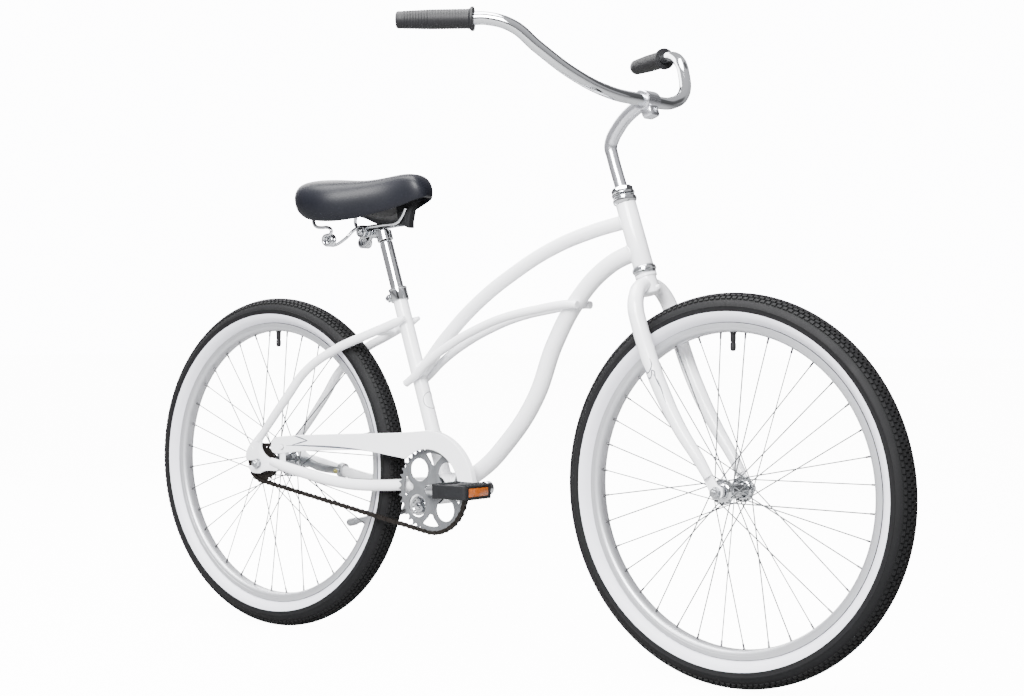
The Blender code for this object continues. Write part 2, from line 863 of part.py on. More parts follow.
stay_oval = (chain_stay_width / 2, chain_stay_height / 2)
bolt_place = rear_axle + Vector((0.068, 0, 0.0357))
for name, side in SIDES:
    route = chain_stay_route(side)
    stay = add_frame_tube(f"chain_stay_{name}", route, stay_oval, 10, [shell_cut])
    combine(stay, "DIFFERENCE", [dropout_slot(side)])
    if name == "right":
        # The chain guard's rear bolt goes into a tab that is welded to the right stay
        tab_outer = guard_face - fit
        stay_height = crossing(route, 0, bolt_place.x).z
        low = (bolt_place.x - guard_tab_width / 2, -tab_outer, stay_height)
        high = (bolt_place.x + guard_tab_width / 2, -tab_outer + guard_tab_thickness, bolt_place.z + 0.009)
        combine(stay, "UNION", [add_tool(block(low, high))])

    route = seat_stay_route(side)
    sizes = [seat_stay_radius] * len(route)
    sizes[0] = 0.5 * seat_stay_radius
    sizes[-1] = 0.75 * seat_stay_radius
    stay = add_frame_tube(f"seat_stay_{name}", route, sizes, 10, [seat_cut])
    combine(stay, "DIFFERENCE", [dropout_slot(side)])


def add_bridge(name, piece_mesh, route_of, size):
    """A cross piece, shaped at both ends to the stays that it joins."""
    piece = add_piece(name, piece_mesh, WHITE_PAINT)
    for _, side in SIDES:
        grown_size = tuple(clear_of(part, 20) for part in size)
        combine(piece, "DIFFERENCE", [add_tool(tube(route_of(side), grown_size, 20))])
    return piece


bridge_point = crossing(seat_stay_route(1), 2, bridge_height)
bridge_ends = [Vector((bridge_point.x, side * bridge_point.y, bridge_point.z)) for side in (1, -1)]
bridge_mesh = tube(bridge_ends, stay_bridge_radius, 10, (1, 0, 0))
add_bridge("seat_stay_bridge", bridge_mesh, seat_stay_route, (seat_stay_radius, seat_stay_radius))

# Kickstand and the bracket that it folds on

fold_axis = Vector((0, -0.987, -0.161)).normalized()
bracket_low = kickstand_pivot.z - 0.014
bracket_middle = crossing(chain_stay_route(1), 0, kickstand_pivot.x + 0.15 * bracket_plate_length)
bracket_half = Vector((bracket_plate_length / 2, bracket_middle.y, bracket_plate_thickness / 2))
bracket_centre = Vector((bracket_middle.x, 0, bracket_middle.z))
bracket_plate = block(bracket_centre - bracket_half, bracket_centre + bracket_half)
bracket = add_bridge("chain_stay_bridge", bracket_plate, chain_stay_route, stay_oval)
bracket_block = block(
    (kickstand_pivot.x - bracket_block_length / 2, -bracket_block_width / 2, bracket_low),
    (kickstand_pivot.x + bracket_block_length / 2, kickstand_pivot.y - 0.008, bracket_middle.z),
)
combine(bracket, "UNION", [add_tool(bracket_block)])
hub_face = kickstand_hub_width / 2 + fit
pivot_out = kickstand_pivot - 0.05 * fold_axis
pin_hole_end = kickstand_pivot + (kickstand_pin_length + fit) * fold_axis
pin_hole = tube([kickstand_pivot, pin_hole_end], clear_of(kickstand_pin_radius, 10), 10)
hub_room = tube([pivot_out, kickstand_pivot + hub_face * fold_axis], 0.03, 20)
combine(bracket, "DIFFERENCE", [add_tool(pin_hole), add_tool(hub_room)])

kickstand_turn = add_empty("kickstand_axis", kickstand_pivot)
leg_foot = Vector((-0.2725, 0.07, -0.057))
leg_bend = (-0.073, 0.0095, -0.0165)
leg_route = [(0, 0, 0), (-0.033, 0.0005, -0.006), leg_bend, (-0.16, 0.0365, -0.034), leg_foot]
kickstand = add_piece("kickstand", tube(leg_route, kickstand_leg_radius, 8), CHROME, kickstand_turn)
hub_ends = [-0.5 * kickstand_hub_width * fold_axis, 0.5 * kickstand_hub_width * fold_axis]
pin_ends = [Vector((0, 0, 0)), kickstand_pin_length * fold_axis]
foot_ends = [leg_foot + Vector((0.012, 0, 0.0025)), leg_foot + Vector((-0.016, 0.004, -0.0034))]
kickstand_joins = [
    tube(hub_ends, kickstand_hub_radius, 12),
    tube(pin_ends, kickstand_pin_radius, 10),
    tube(foot_ends, 1.35 * kickstand_leg_radius, 8),
]
combine(kickstand, "UNION", [add_tool(mesh, kickstand_turn) for mesh in kickstand_joins])


# Seat clamp

collar_inner = clear_of(seat_tube_radius, 20)
collar_outer = seat_tube_radius + fit + seat_collar_wall
collar_profile = [
    (collar_outer, seat_tube_length - seat_collar_height),
    (collar_outer, seat_tube_length + 0.001),
    (collar_inner, seat_tube_length + 0.001),
    (collar_inner, seat_tube_length - seat_collar_height),
]
seat_clamp = add_piece("seat_clamp", turned(collar_profile, 20), CHROME, post_slide)
lug_x = -collar_outer + 0.001
lug_top = seat_tube_length - 0.004
lug_low = seat_tube_length - seat_collar_height + 0.004
lug = block((lug_x - 0.01, -0.009, lug_low), (lug_x, 0.009, lug_top))
collar_bolt_z = (lug_top + lug_low) / 2
collar_bolt_ends = [(lug_x - 0.005, y, collar_bolt_z) for y in (-0.015, 0.015)]
collar_bolt = tube(collar_bolt_ends, seat_bolt_radius, 6)
combine(seat_clamp, "UNION", [add_tool(lug, post_slide), add_tool(collar_bolt, post_slide)])


# Headset and fork, in the steering axis's own frame: X forwards, Z up the axis

cup_bore = clear_of(steerer_radius, headset_sides)
skirt_radius = head_tube_bore * cos(pi / headset_sides) - fit
seat_low = head_tube_low - fit
seat_high = head_tube_high + fit
upper_cup = [
    (cup_bore, seat_high - cup_skirt),
    (skirt_radius, seat_high - cup_skirt),
    (skirt_radius, seat_high),
    (cup_radius, seat_high),
    (cup_radius, seat_high + 0.6 * cup_height),
    (0.92 * cup_radius, seat_high + cup_height),
    (cup_bore, seat_high + cup_height),
]
lower_cup = [
    (cup_bore, seat_low - cup_height),
    (0.92 * cup_radius, seat_low - cup_height),
    (cup_radius, seat_low - 0.6 * cup_height),
    (cup_radius, seat_low),
    (skirt_radius, seat_low),
    (skirt_radius, seat_low + cup_skirt),
    (cup_bore, seat_low + cup_skirt),
]
for name, profile in (("upper", upper_cup), ("lower", lower_cup)):
    add_piece(f"headset_cup_{name}", turned(profile, headset_sides), CHROME, steering)

race_top = seat_low - cup_height - fit
race_low = race_top - crown_race_height
locknut_low = seat_high + cup_height + fit
locknut_high = locknut_low + locknut_height
steerer_top = locknut_high - 0.0015
crown_low = race_low - crown_sleeve_height
crown_profile = [
    (0, crown_low),
    (crown_sleeve_radius, crown_low),
    (crown_sleeve_radius, race_low),
    (0.9 * cup_radius, race_low),
    (0.9 * cup_radius, race_top),
    (steerer_radius, race_top),
    (steerer_radius, steerer_top),
    (steerer_bore, steerer_top),
    (steerer_bore, steerer_bore_bottom),
    (0, steerer_bore_bottom),
]
add_piece("fork_crown", turned(crown_profile, headset_sides), WHITE_PAINT, steering)

quill_hole = clear_of(quill_radius, headset_sides)
locknut_profile = [
    (cup_bore, locknut_low),
    (locknut_radius + 0.003, locknut_low),
    (locknut_radius + 0.003, locknut_low + 0.004),
    (locknut_radius, locknut_low + 0.0045),
    (locknut_radius, locknut_high),
    (quill_hole + 0.0008, locknut_high),
    (quill_hole + 0.0008, steerer_top + fit),
    (cup_bore, steerer_top + fit),
]
add_piece("headset_locknut", turned(locknut_profile, headset_sides), CHROME, steering)

tab_middle = front_hub_width / 2 + fork_tab_thickness / 2
tab_outline = [
    *arc((fork_offset, 0), fork_tab_radius, 60, -60, 6),
    *arc((fork_offset, 0), slot, 0, 180, 4),
    *arc((fork_offset, 0), fork_tab_radius, 240, 165, 4),
    (fork_offset - 0.022, blade_end + 0.015),
    (fork_offset - 0.002, blade_end + 0.015),
]
for name, side in SIDES:
    blade_points = [
        (fork_offset - 0.0065, side * (tab_middle + 0.001), blade_end),
        (fork_offset - 0.015, side * (tab_middle + 0.0025), 0.062),
        (0.018, side * fork_spread, 0.121),
        (0.004, side * fork_spread, 0.19),
        (-0.003, side * fork_spread, 0.26),
        (-0.004, side * fork_spread, fork_shoulder),
        (-0.002, side * 0.82 * fork_spread, fork_arch_height - 0.024),
        (0, side * 0.5 * fork_spread, fork_arch_height - 0.005),
        (0, side * 0.1 * fork_spread, fork_arch_height),
    ]
    blade_route = [Vector(point) for point in blade_points]
    last = len(blade_route) - 1
    growth = blade_top_radius - blade_end_radius
    sizes = [blade_end_radius + growth * min(1, 1.9 * k / last) for k in range(last - 1)]
    sizes += [fork_arch_radius, fork_arch_radius]
    blade = add_piece(f"fork_blade_{name}", tube(blade_route, sizes, 10), WHITE_PAINT, steering)
    tab = plate(tab_outline, fork_tab_thickness)
    combine(blade, "UNION", [add_tool(tab, steering, (0, side * (tab_middle + fit), 0), ACROSS)])
    sleeve = tube([(0, 0, crown_low - 0.03), (0, 0, race_low + 0.04)], clear_of(crown_sleeve_radius, 16), 16)
    combine(blade, "DIFFERENCE", [add_tool(sleeve, steering)])


# Stem, handlebar and grips

limb_end = clamp_centre - Vector((0.012, 0, 0.0035))
stem_route = [
    (0, 0, quill_bottom),
    (0, 0, stem_bend),
    (0.008, 0, stem_bend + 0.013),
    (0.42 * stem_reach, 0, stem_bend + 0.7 * stem_rise),
    (0.72 * stem_reach, 0, stem_bend + 0.93 * stem_rise),
    limb_end,
]
stem_sizes = [quill_radius] * 2 + [stem_limb_radius] * 4
stem = add_piece("stem", tube(stem_route, stem_sizes, 14), CHROME, stem_slide)
clamp_ends = [clamp_centre + Vector((0, side * clamp_width / 2, 0)) for side in (1, -1)]
lug_low_corner = clamp_centre + Vector((-0.009, -0.013, -clamp_radius - 0.011))
lug_high_corner = clamp_centre + Vector((0.009, 0.013, -clamp_radius + 0.006))
bolt_ends = [clamp_centre + Vector((x, 0, -clamp_radius - 0.004)) for x in (-0.013, 0.015)]
clamp_parts = [
    tube(clamp_ends, clamp_radius, 16, (1, 0, 0)),
    block(lug_low_corner, lug_high_corner),
    tube(bolt_ends, 0.0045, 6),
]
combine(stem, "UNION", [add_tool(mesh, stem_slide) for mesh in clamp_parts])
bar_hole_ends = [clamp_centre + Vector((0, side * clamp_width, 0)) for side in (1, -1)]
bar_hole = tube(bar_hole_ends, clear_of(bar_radius, 16), 16, (1, 0, 0))
combine(stem, "DIFFERENCE", [add_tool(bar_hole, stem_slide)])

bar_end = Vector((-bar_sweep, bar_half_width, bar_rise))
grip_way = Vector((-0.1119, 0.0675, 0.0005)).normalized()
grip_start = bar_end - grip_length * grip_way
grip_rear = bar_end - grip_wall_end * grip_way
half_bar = smooth(
    [
        (0, bar_middle, 0),
        (-0.012, 0.27 * bar_half_width, 0.05 * bar_rise),
        (-0.034, 0.48 * bar_half_width, 0.26 * bar_rise),
        (-0.068, 0.633 * bar_half_width, 0.61 * bar_rise),
        (-0.097, 0.712 * bar_half_width, 0.885 * bar_rise),
        grip_start - 0.022 * grip_way,
        grip_start,
    ],
    2,
)
half_bar.append(grip_rear)
bar_route = list(reversed(mirrored(half_bar))) + half_bar
add_piece("handlebar", tube(bar_route, bar_radius, 8, (1, 0, 0)), CHROME, bar_turn)

grip_bore = clear_of(bar_radius, 10)
grip_profile = [
    (0, grip_length),
    (grip_end_radius - 0.002, grip_length),
    (grip_end_radius, grip_length - 0.002),
    (grip_radius, 0.55 * grip_length),
    (grip_radius - 0.0004, grip_flange + 0.003),
    (grip_flange_radius, grip_flange),
    (grip_flange_radius, 0),
    (grip_bore, 0),
    (grip_bore, grip_length - grip_wall_end + fit),
    (0, grip_length - grip_wall_end + fit),
]
for name, side in SIDES:
    way = Vector((grip_way.x, side * grip_way.y, grip_way.z))
    start = Vector((grip_start.x, side * grip_start.y, grip_start.z))
    turn = way.to_track_quat("Z", "Y").to_euler()
    add_piece(f"grip_{name}", turned(grip_profile, 10), RUBBER, bar_turn, start, turn)


# Bottom bracket, crank and pedals, about the crank axis: local X forwards, Y up, Z to the right

cup_out = shell_width / 2 + fit
cone_bore = clear_of(crank_cone_radius, shell_sides)
for name, side in SIDES:
    profile = [
        (cone_bore, cup_out - bracket_cup_depth),
        (shell_bore * cos(pi / shell_sides) - fit, cup_out - bracket_cup_depth),
        (shell_bore * cos(pi / shell_sides) - fit, cup_out),
        (shell_radius, cup_out),
        (shell_radius, cup_out + bracket_cup_lip),
        (cone_bore, cup_out + bracket_cup_lip),
    ]
    profile = [(radius, -side * height) for radius, height in profile]
    add_piece(f"bb_cup_{name}", turned(profile, shell_sides), CHROME, crank_turn)

arm_way = Vector((cos(crank_lift), sin(crank_lift), 0))
arm_shape = [(0.0, 0.66), (0.004, 0.79), (0.014, 0.88), (0.03, 0.935), (0.062, 0.975), (0.11, 1.0)]
half_arm = [out * arm_way + Vector((0, 0, share * crank_offset)) for out, share in arm_shape]
half_arm.append(crank_length * arm_way + Vector((0, 0, crank_offset)))
crank_route = [Vector((-p.x, -p.y, -p.z)) for p in reversed(half_arm)] + half_arm
arm_size = (crank_thickness / 2, crank_height / 2)
spindle_size = (crank_spindle_radius, crank_spindle_radius)
half_sizes = [spindle_size] * 3 + [(0.75 * crank_spindle_radius, crank_height / 2)] + [arm_size] * 3
arm_up = Vector((-sin(crank_lift), cos(crank_lift), 0))
arm_flat = [(height, width) for width, height in half_sizes]
crank_sizes = list(reversed(arm_flat)) + arm_flat
crank = add_piece("crank", tube(crank_route, crank_sizes, 10, arm_up), CHROME, crank_turn)
ring_face = chain_line - sprocket_thickness / 2 - fit
cone_start = cup_out - bracket_cup_depth + 0.002
cone_ends = [((0, 0, cone_start), (0, 0, ring_face)), ((0, 0, -cone_start), (0, 0, -cup_out - 0.004))]
combine(crank, "UNION", [add_tool(tube(ends, crank_cone_radius, 14), crank_turn) for ends in cone_ends])

boss_half = crank_thickness / 2 + 0.0005
for name, side in SIDES:
    tip = -side * crank_length * arm_way
    middle = -side * crank_offset
    boss_ends = [tip + Vector((0, 0, middle - boss_half)), tip + Vector((0, 0, middle + boss_half))]
    hole_ends = [tip + Vector((0, 0, middle - 0.02)), tip + Vector((0, 0, middle + 0.02))]
    combine(crank, "UNION", [add_tool(tube(boss_ends, crank_boss_radius, 12), crank_turn)])
    hole = tube(hole_ends, clear_of(pedal_thread_radius, 12), 12)
    combine(crank, "DIFFERENCE", [add_tool(hole, crank_turn)])

collar_face = crank_offset + boss_half + fit
pedal_face = collar_face + pedal_collar_width + fit
pedal_end = pedal_face + pedal_neck + pedal_width
barrel_end = pedal_end - 0.006
axle_profile = [
    (0, crank_offset - boss_half - 0.001),
    (pedal_thread_radius, crank_offset - boss_half - 0.001),
    (pedal_thread_radius, collar_face),
    (pedal_collar_radius, collar_face),
    (pedal_collar_radius, pedal_face - fit),
    (pedal_axle_radius, pedal_face - fit),
    (pedal_axle_radius, barrel_end),
    (0, barrel_end),
]
for name, side in SIDES:
    tip = -side * crank_length * arm_way
    mirror = [(radius, -side * height) for radius, height in axle_profile]
    add_piece(f"pedal_axle_{name}", turned(mirror, 12), STEEL, crank_turn, tip)

    pedal_turn = add_empty(f"pedal_{name}_axis", tip, (0, 0, 0), crank_turn)
    inner = pedal_face + pedal_neck
    low = min(-side * inner, -side * pedal_end)
    high = max(-side * inner, -side * pedal_end)
    half_length = pedal_length / 2
    window_low = pedal_barrel_radius + 0.0015
    window_high = half_length - pedal_bar
    body = block((-half_length, -pedal_thickness / 2, low), (half_length, pedal_thickness / 2, high))
    pedal = add_piece(f"pedal_{name}", body, PLASTIC, pedal_turn)
    for near, far in ((-window_high, -window_low), (window_low, window_high)):
        cut_low = (near, -pedal_thickness, low + pedal_plate)
        cut_high = (far, pedal_thickness, high - pedal_plate)
        window = block(cut_low, cut_high)
        combine(pedal, "DIFFERENCE", [add_tool(window, pedal_turn)])
    barrel_ends = [(0, 0, -side * pedal_face), (0, 0, -side * (pedal_end - 0.002))]
    combine(pedal, "UNION", [add_tool(tube(barrel_ends, pedal_barrel_radius, 12), pedal_turn)])
    bore_ends = [(0, 0, -side * (pedal_face - 0.01)), (0, 0, -side * (barrel_end + fit))]
    combine(pedal, "DIFFERENCE", [add_tool(tube(bore_ends, clear_of(pedal_axle_radius, 12), 12), pedal_turn)])


# Chain drive

ring_pitch_radius = chain_pitch / 2 / sin(pi / ring_teeth)
cog_pitch_radius = chain_pitch / 2 / sin(pi / cog_teeth)
centre_line = atan2(-bottom_bracket_drop, crank_reach)


def toothed(teeth, pitch_radius, first_gap):
    """A sprocket's outline: three points a tooth, with a gap at first_gap and a tooth's turn on from it."""
    outline = []
    root = pitch_radius - tooth_depth
    tip = pitch_radius + tooth_height
    half_tooth = asin(tooth_root_width / 2 / root)
    for k in range(teeth):
        middle = first_gap + (k + 0.5) * tau / teeth
        for radius, angle in ((root, middle - half_tooth), (tip, middle), (root, middle + half_tooth)):
            outline.append((radius * cos(angle), radius * sin(angle)))
    return outline


ring_holes = [arc((0, 0), clear_of(crank_spindle_radius, 10), 18, 342, 9)]
for k in range(4):
    turn = centre_line + radians(45 + 90 * k)
    place = (ring_hole_circle * cos(turn), ring_hole_circle * sin(turn))
    ring_holes.append(arc(place, ring_hole_radius, 0, 324, 9))
for k in range(4):
    turn = degrees(centre_line) + 90 * k
    place = (ring_slot_circle * cos(radians(turn)), ring_slot_circle * sin(radians(turn)))
    ring_holes.append(arc(place, ring_slot_radius, turn, turn + 240, 2))
ring_outline = toothed(ring_teeth, ring_pitch_radius, centre_line)
ring_mesh = plate(ring_outline, sprocket_thickness, ring_holes)
add_piece("chainring", ring_mesh, ALUMINIUM, crank_turn, (0, 0, chain_line))

cog_turn = add_empty("rear_cog_axis", rear_axle, ACROSS)
cog_outline = toothed(cog_teeth, cog_pitch_radius, centre_line + pi)
cog_bore = clear_of(hub_bore, 12)
cog_plate = plate(cog_outline, sprocket_thickness, [arc((0, 0), cog_bore, 15, 345, 11)])
add_piece("rear_cog", cog_plate, DARK_STEEL, cog_turn, (0, 0, chain_line))


def roller_places():
    """The chain's rollers: round the chainring, along the top, round the cog and back underneath.

    They lie in the tooth gaps of both sprockets and evenly on the two straight runs. Each comes with
    whether the link after it has a tooth in it. A stretch that meets no tooth is straight, so its two
    ends describe it.
    """
    ring_step = tau / ring_teeth
    cog_step = tau / cog_teeth
    ring_last = int(ring_teeth / 4)
    cog_last = int(cog_teeth / 4)

    def on_ring(k):
        angle = centre_line + k * ring_step
        return Vector((ring_pitch_radius * cos(angle), ring_pitch_radius * sin(angle)))

    def on_cog(k):
        angle = centre_line + pi + k * cog_step
        place = Vector((cog_pitch_radius * cos(angle), cog_pitch_radius * sin(angle)))
        return place + Vector((-crank_reach, bottom_bracket_drop))

    def straight_run(start, end, toothed_first, toothed_last):
        links = round((end - start).length / chain_pitch)
        kept = [*range(1, toothed_first + 1), *range(links - toothed_last, links)]
        return links, [(start.lerp(end, k / links), k != toothed_first) for k in kept]

    over_ring = [(on_ring(k), True) for k in range(-ring_last, ring_last + 1)]
    round_cog = [(on_cog(k), True) for k in range(-cog_last, cog_last + 1)]
    top_links, top = straight_run(over_ring[-1][0], round_cog[0][0], ring_exit_count, cog_exit_count)
    low_links, low = straight_run(round_cog[-1][0], over_ring[0][0], cog_exit_count, ring_exit_count)
    print(f"chain: {2 * ring_last + top_links + 2 * cog_last + low_links} links")
    return over_ring + top + round_cog + low


def chain_mesh(places):
    """A closed chain: two side rails, joined at every roller round a sprocket, with gaps for the teeth."""
    bm = bmesh.new()
    half_height = chain_height / 2
    half_width = chain_width / 2
    half_gap = chain_gap / 2
    rollers = [place for place, _ in places]
    count = len(rollers)

    def corner(place, out, height, width):
        return bm.verts.new((place.x + height * out.x, place.y + height * out.y, chain_line + width))

    edges = []
    for k, place in enumerate(rollers):
        along = (rollers[(k + 1) % count] - rollers[k - 1]).normalized()
        out = Vector((along.y, -along.x))
        ends = [(h, w) for h in (-1, 1) for w in (-1, 1)]
        edges.append({(h, w): corner(place, out, h * half_height, w * half_width) for h, w in ends})
    for k, near in enumerate(edges):
        far = edges[(k + 1) % count]
        for w in (-1, 1):
            bm.faces.new((near[-1, w], far[-1, w], far[1, w], near[1, w]))
        if not places[k][1]:
            for h in (-1, 1):
                bm.faces.new((near[h, -1], near[h, 1], far[h, 1], far[h, -1]))
            continue
        start, end = rollers[k], rollers[(k + 1) % count]
        along = (end - start).normalized()
        out = Vector((along.y, -along.x))
        hole = {}
        roller_half = roller_width / 2 * along
        for place, name in ((start + roller_half, "near"), (end - roller_half, "far")):
            for h in (-1, 1):
                for w in (-1, 1):
                    hole[name, h, w] = corner(place, out, h * half_height, w * half_gap)
        for h in (-1, 1):
            bm.faces.new((near[h, -1], near[h, 1], hole["near", h, 1], hole["near", h, -1]))
            bm.faces.new((far[h, -1], far[h, 1], hole["far", h, 1], hole["far", h, -1]))
        for w in (-1, 1):
            bm.faces.new((hole["near", -1, w], hole["far", -1, w], hole["far", 1, w], hole["near", 1, w]))
            for h in (-1, 1):
                bm.faces.new((near[h, w], far[h, w], hole["far", h, w], hole["near", h, w]))
        for name in ("near", "far"):
            bm.faces.new((hole[name, -1, -1], hole[name, -1, 1], hole[name, 1, 1], hole[name, 1, -1]))
    return finished(bm)


add_piece("chain", chain_mesh(roller_places()), DARK_STEEL, crank_turn)


# Chain guard, in the crank axis's frame

guard_rear = -crank_reach
top_edge = [
    (guard_rear + 0.036, 0.0845),
    (guard_rear + 0.103, 0.0905),
    (guard_rear + 0.228, 0.0975),
    (-0.078, 0.1045),
    (-0.03, 0.109),
]
nose = arc((0, 0), guard_nose_radius, 90, 9, 8)
cutout = arc((0, 0), guard_cutout_radius, 14, 133, 7)
low_edge = [
    (-0.12369, 0.0646),
    (-0.17269, 0.0685),
    (guard_rear + 0.128, 0.0605),
    (guard_rear + 0.052, 0.0515),
    (guard_rear + 0.035, 0.054),
]
guard_outline = top_edge + nose + cutout + low_edge
rim_line = top_edge + nose
inner_line = grown(guard_outline, -guard_thickness)[: len(rim_line)]
guard_middle = guard_face + guard_thickness / 2
guard_sheet = plate(guard_outline, guard_thickness)
guard = add_piece("chain_guard", guard_sheet, WHITE_PAINT, crank_turn, (0, 0, guard_middle))
flange = plate(rim_line + list(reversed(inner_line)), guard_depth - guard_thickness / 2)
flange_middle = guard_face + 0.75 * guard_thickness - guard_depth / 2
strap_level = guard_strap_height - crank_axis.z
strap_x = -strap_level / tan(seat_angle)
strap = block(
    (strap_x - guard_strap_width / 2, strap_level, 0.004),
    (strap_x + guard_strap_width / 2, strap_level + guard_tab_thickness, guard_face + 0.0005),
)
bolt = bolt_place - crank_axis
bolt_head_ends = [(bolt.x, bolt.z, guard_face + out) for out in (0.0005, 0.004)]
bolt_head = tube(bolt_head_ends, guard_bolt_radius, 8)
combine(guard, "UNION", [add_tool(flange, crank_turn, (0, 0, flange_middle))])
combine(guard, "UNION", [add_tool(strap, crank_turn), add_tool(bolt_head, crank_turn)])
combine(guard, "DIFFERENCE", [add_tool(tube(seat_path, clear_of(seat_tube_radius, 20), 20))])


# Coaster brake

arm_middle = brake_arm_inner + brake_arm_thickness / 2
left_stay = chain_stay_route(1)
strap_at = crossing(left_stay, 0, rear_axle.x + brake_arm_length)
arm_end_y = strap_at.y - chain_stay_width / 2 - brake_strap_wall - brake_arm_thickness / 2 - 4 * fit
arm_dip_z = 0.4 * strap_at.z + 0.6 * rear_axle.z - 0.004
arm_route = [
    rear_axle + Vector((0, arm_middle, 0)),
    rear_axle + Vector((0.03, arm_middle, 0)),
    Vector((rear_axle.x + 0.075, (arm_middle + arm_end_y) / 2 - 0.001, arm_dip_z)),
    Vector((strap_at.x + 0.008, arm_end_y, strap_at.z)),
]
arm_sizes = [(brake_arm_thickness / 2, half_height) for half_height in (0.0095, 0.0095, 0.0085, 0.007)]
brake_arm = add_piece("brake_arm", tube(arm_route, arm_sizes, 8), CHROME)
boss_sides = (brake_arm_inner - 0.0002, brake_arm_inner + brake_arm_thickness)
boss_ends = [rear_axle + Vector((0, y, 0)) for y in boss_sides]
combine(brake_arm, "UNION", [add_tool(tube(boss_ends, brake_arm_boss, 14, (1, 0, 0)))])
hole_ends = [rear_axle + Vector((0, y, 0)) for y in (0.03, 0.06)]
arm_hole = tube(hole_ends, clear_of(hub_bore, 16), 16, (1, 0, 0))
combine(brake_arm, "DIFFERENCE", [add_tool(arm_hole)])

stay_way = (crossing(left_stay, 0, strap_at.x + 0.01) - strap_at).normalized()
band_ends = [strap_at - 0.5 * brake_strap_width * stay_way, strap_at + 0.5 * brake_strap_width * stay_way]
band_size = (chain_stay_width / 2 + brake_strap_wall + fit, chain_stay_height / 2 + brake_strap_wall + fit)
band = add_piece("brake_strap", tube(band_ends, [band_size, band_size], 12), STEEL)
band_hole = (clear_of(chain_stay_width / 2, 16), clear_of(chain_stay_height / 2, 16))
combine(band, "DIFFERENCE", [add_tool(tube(left_stay, band_hole, 16))])


# Seat post and saddle clamp, in the seat tube's own frame: Z up the tube

neck_start = post_top - post_neck_length
post_profile = [
    (0, post_top),
    (post_neck_radius, post_top),
    (post_neck_radius, neck_start),
    (post_radius, neck_start - 0.002),
    (post_radius, post_top - post_length),
    (0, post_top - post_length),
]
add_piece("seatpost", turned(post_profile, 16), CHROME, post_slide)

neck_hole = clear_of(post_neck_radius, 16)
collar_low = neck_start + 0.002
collar_high = post_top - 0.0005
collar = [
    (neck_hole + clamp_collar_wall, collar_low),
    (neck_hole + clamp_collar_wall, collar_high),
    (neck_hole, collar_high),
    (neck_hole, collar_low),
]
saddle_clamp = add_piece("saddle_clamp", turned(collar, 16), CHROME, post_slide)
collar_place = on_seat_tube((collar_low + collar_high) / 2)
half_block = clamp_block_width / 2
clamp_low = (saddle_bolt.x - 0.009, -half_block, saddle_bolt.z - 0.01)
clamp_high = (collar_place.x, half_block, saddle_bolt.z + 0.007)
clamp_body = block(clamp_low, clamp_high)
post_space = tube([on_seat_tube(collar_low - 0.03), on_seat_tube(post_top + 0.05)], neck_hole, 16)
combine(saddle_clamp, "UNION", [add_tool(clamp_body)])
combine(saddle_clamp, "DIFFERENCE", [add_tool(post_space)])
rail_room = rail_radius + fit
inner_washer = rail_spread - rail_room - clamp_washer_thickness
outer_washer = rail_spread + rail_room
half_bolt = []
for face in (inner_washer, outer_washer):
    washer = [(clamp_bolt_radius, face), (clamp_washer_radius, face)]
    half_bolt += washer + [(radius, height + clamp_washer_thickness) for radius, height in reversed(washer)]
bolt_tip = outer_washer + clamp_washer_thickness + clamp_bolt_past_washer
bolt_profile = both_edges([(0, bolt_tip), (clamp_bolt_radius, bolt_tip), *reversed(half_bolt)])
combine(saddle_clamp, "UNION", [add_tool(turned(bolt_profile, 10), None, saddle_bolt, ACROSS)])


# Saddle, about its clamp bolt. A row of the cushion's plan is the share of its length from the rear, the
# share of its half width, and how far its top and its lower edge rise above its rear crown

saddle_rear = -saddle_behind_bolt
plan = [
    (0.0, 0.52, -0.029, -0.059),
    (0.03, 0.78, -0.012, -0.063),
    (0.09, 0.93, -0.0035, -0.068),
    (0.2, 1, 0, -0.0825),
    (0.33, 0.975, -0.0025, -0.085),
    (0.44, 0.86, -0.005, -0.085),
    (0.55, 0.66, -0.0055, -0.079),
    (0.66, 0.475, -0.002, -0.0705),
    (0.75, 0.356, 0.003, -0.064),
    (0.84, 0.29, 0.0055, -0.0565),
    (0.915, 0.25, 0.001, -0.049),
    (0.967, 0.19, -0.0115, -0.044),
    (1.0, 0.08, -0.029, -0.04),
]
crown_sides = [(0.84, 0.0), (0.95, 0.16), (1.0, 0.42), (0.965, 0.66)]
crown_shape = crown_sides + [(0.86, 0.84), (0.62, 0.95), (0.32, 0.99)]


def saddle_section(along, half_width, top, low, shape):
    """One cross-section of the cushion or of the pan under it."""
    right = [(along, -share * half_width, low + rise * (top - low)) for share, rise in shape]
    left = [(x, -y, z) for x, y, z in reversed(right)]
    return [Vector(point) for point in (*right, (along, 0, top), *left)]


cushion_rings = []
for share, width, top, low in plan:
    along = saddle_rear + share * saddle_length
    half = width * saddle_half_width
    high_edge = saddle_over_bolt + top
    low_edge = saddle_over_bolt + low
    cushion_rings.append(saddle_section(along, half, high_edge, low_edge, crown_shape))
cushion = add_piece("saddle_cushion", skin(cushion_rings), VINYL, saddle_turn)

pan_shape = [(1.0, 0.0), (1.0, 0.8), (0.9, 1.0), (0.45, 1.0)]


def pan_rings(width_share, under, over, end_gap):
    """Rings of the space under the cushion, or of the pan in it, with heights from its lower edge."""
    rings = []
    rows = plan[2:-2]
    for row, (share, width, _, low) in enumerate(rows):
        along = saddle_rear + share * saddle_length
        if row == 0:
            along += end_gap
        if row == len(rows) - 1:
            along -= end_gap
        half = width_share * (0.9 * width * saddle_half_width - saddle_wall)
        edge = saddle_over_bolt + low
        rings.append(saddle_section(along, half, edge + over, edge + under, pan_shape))
    return rings


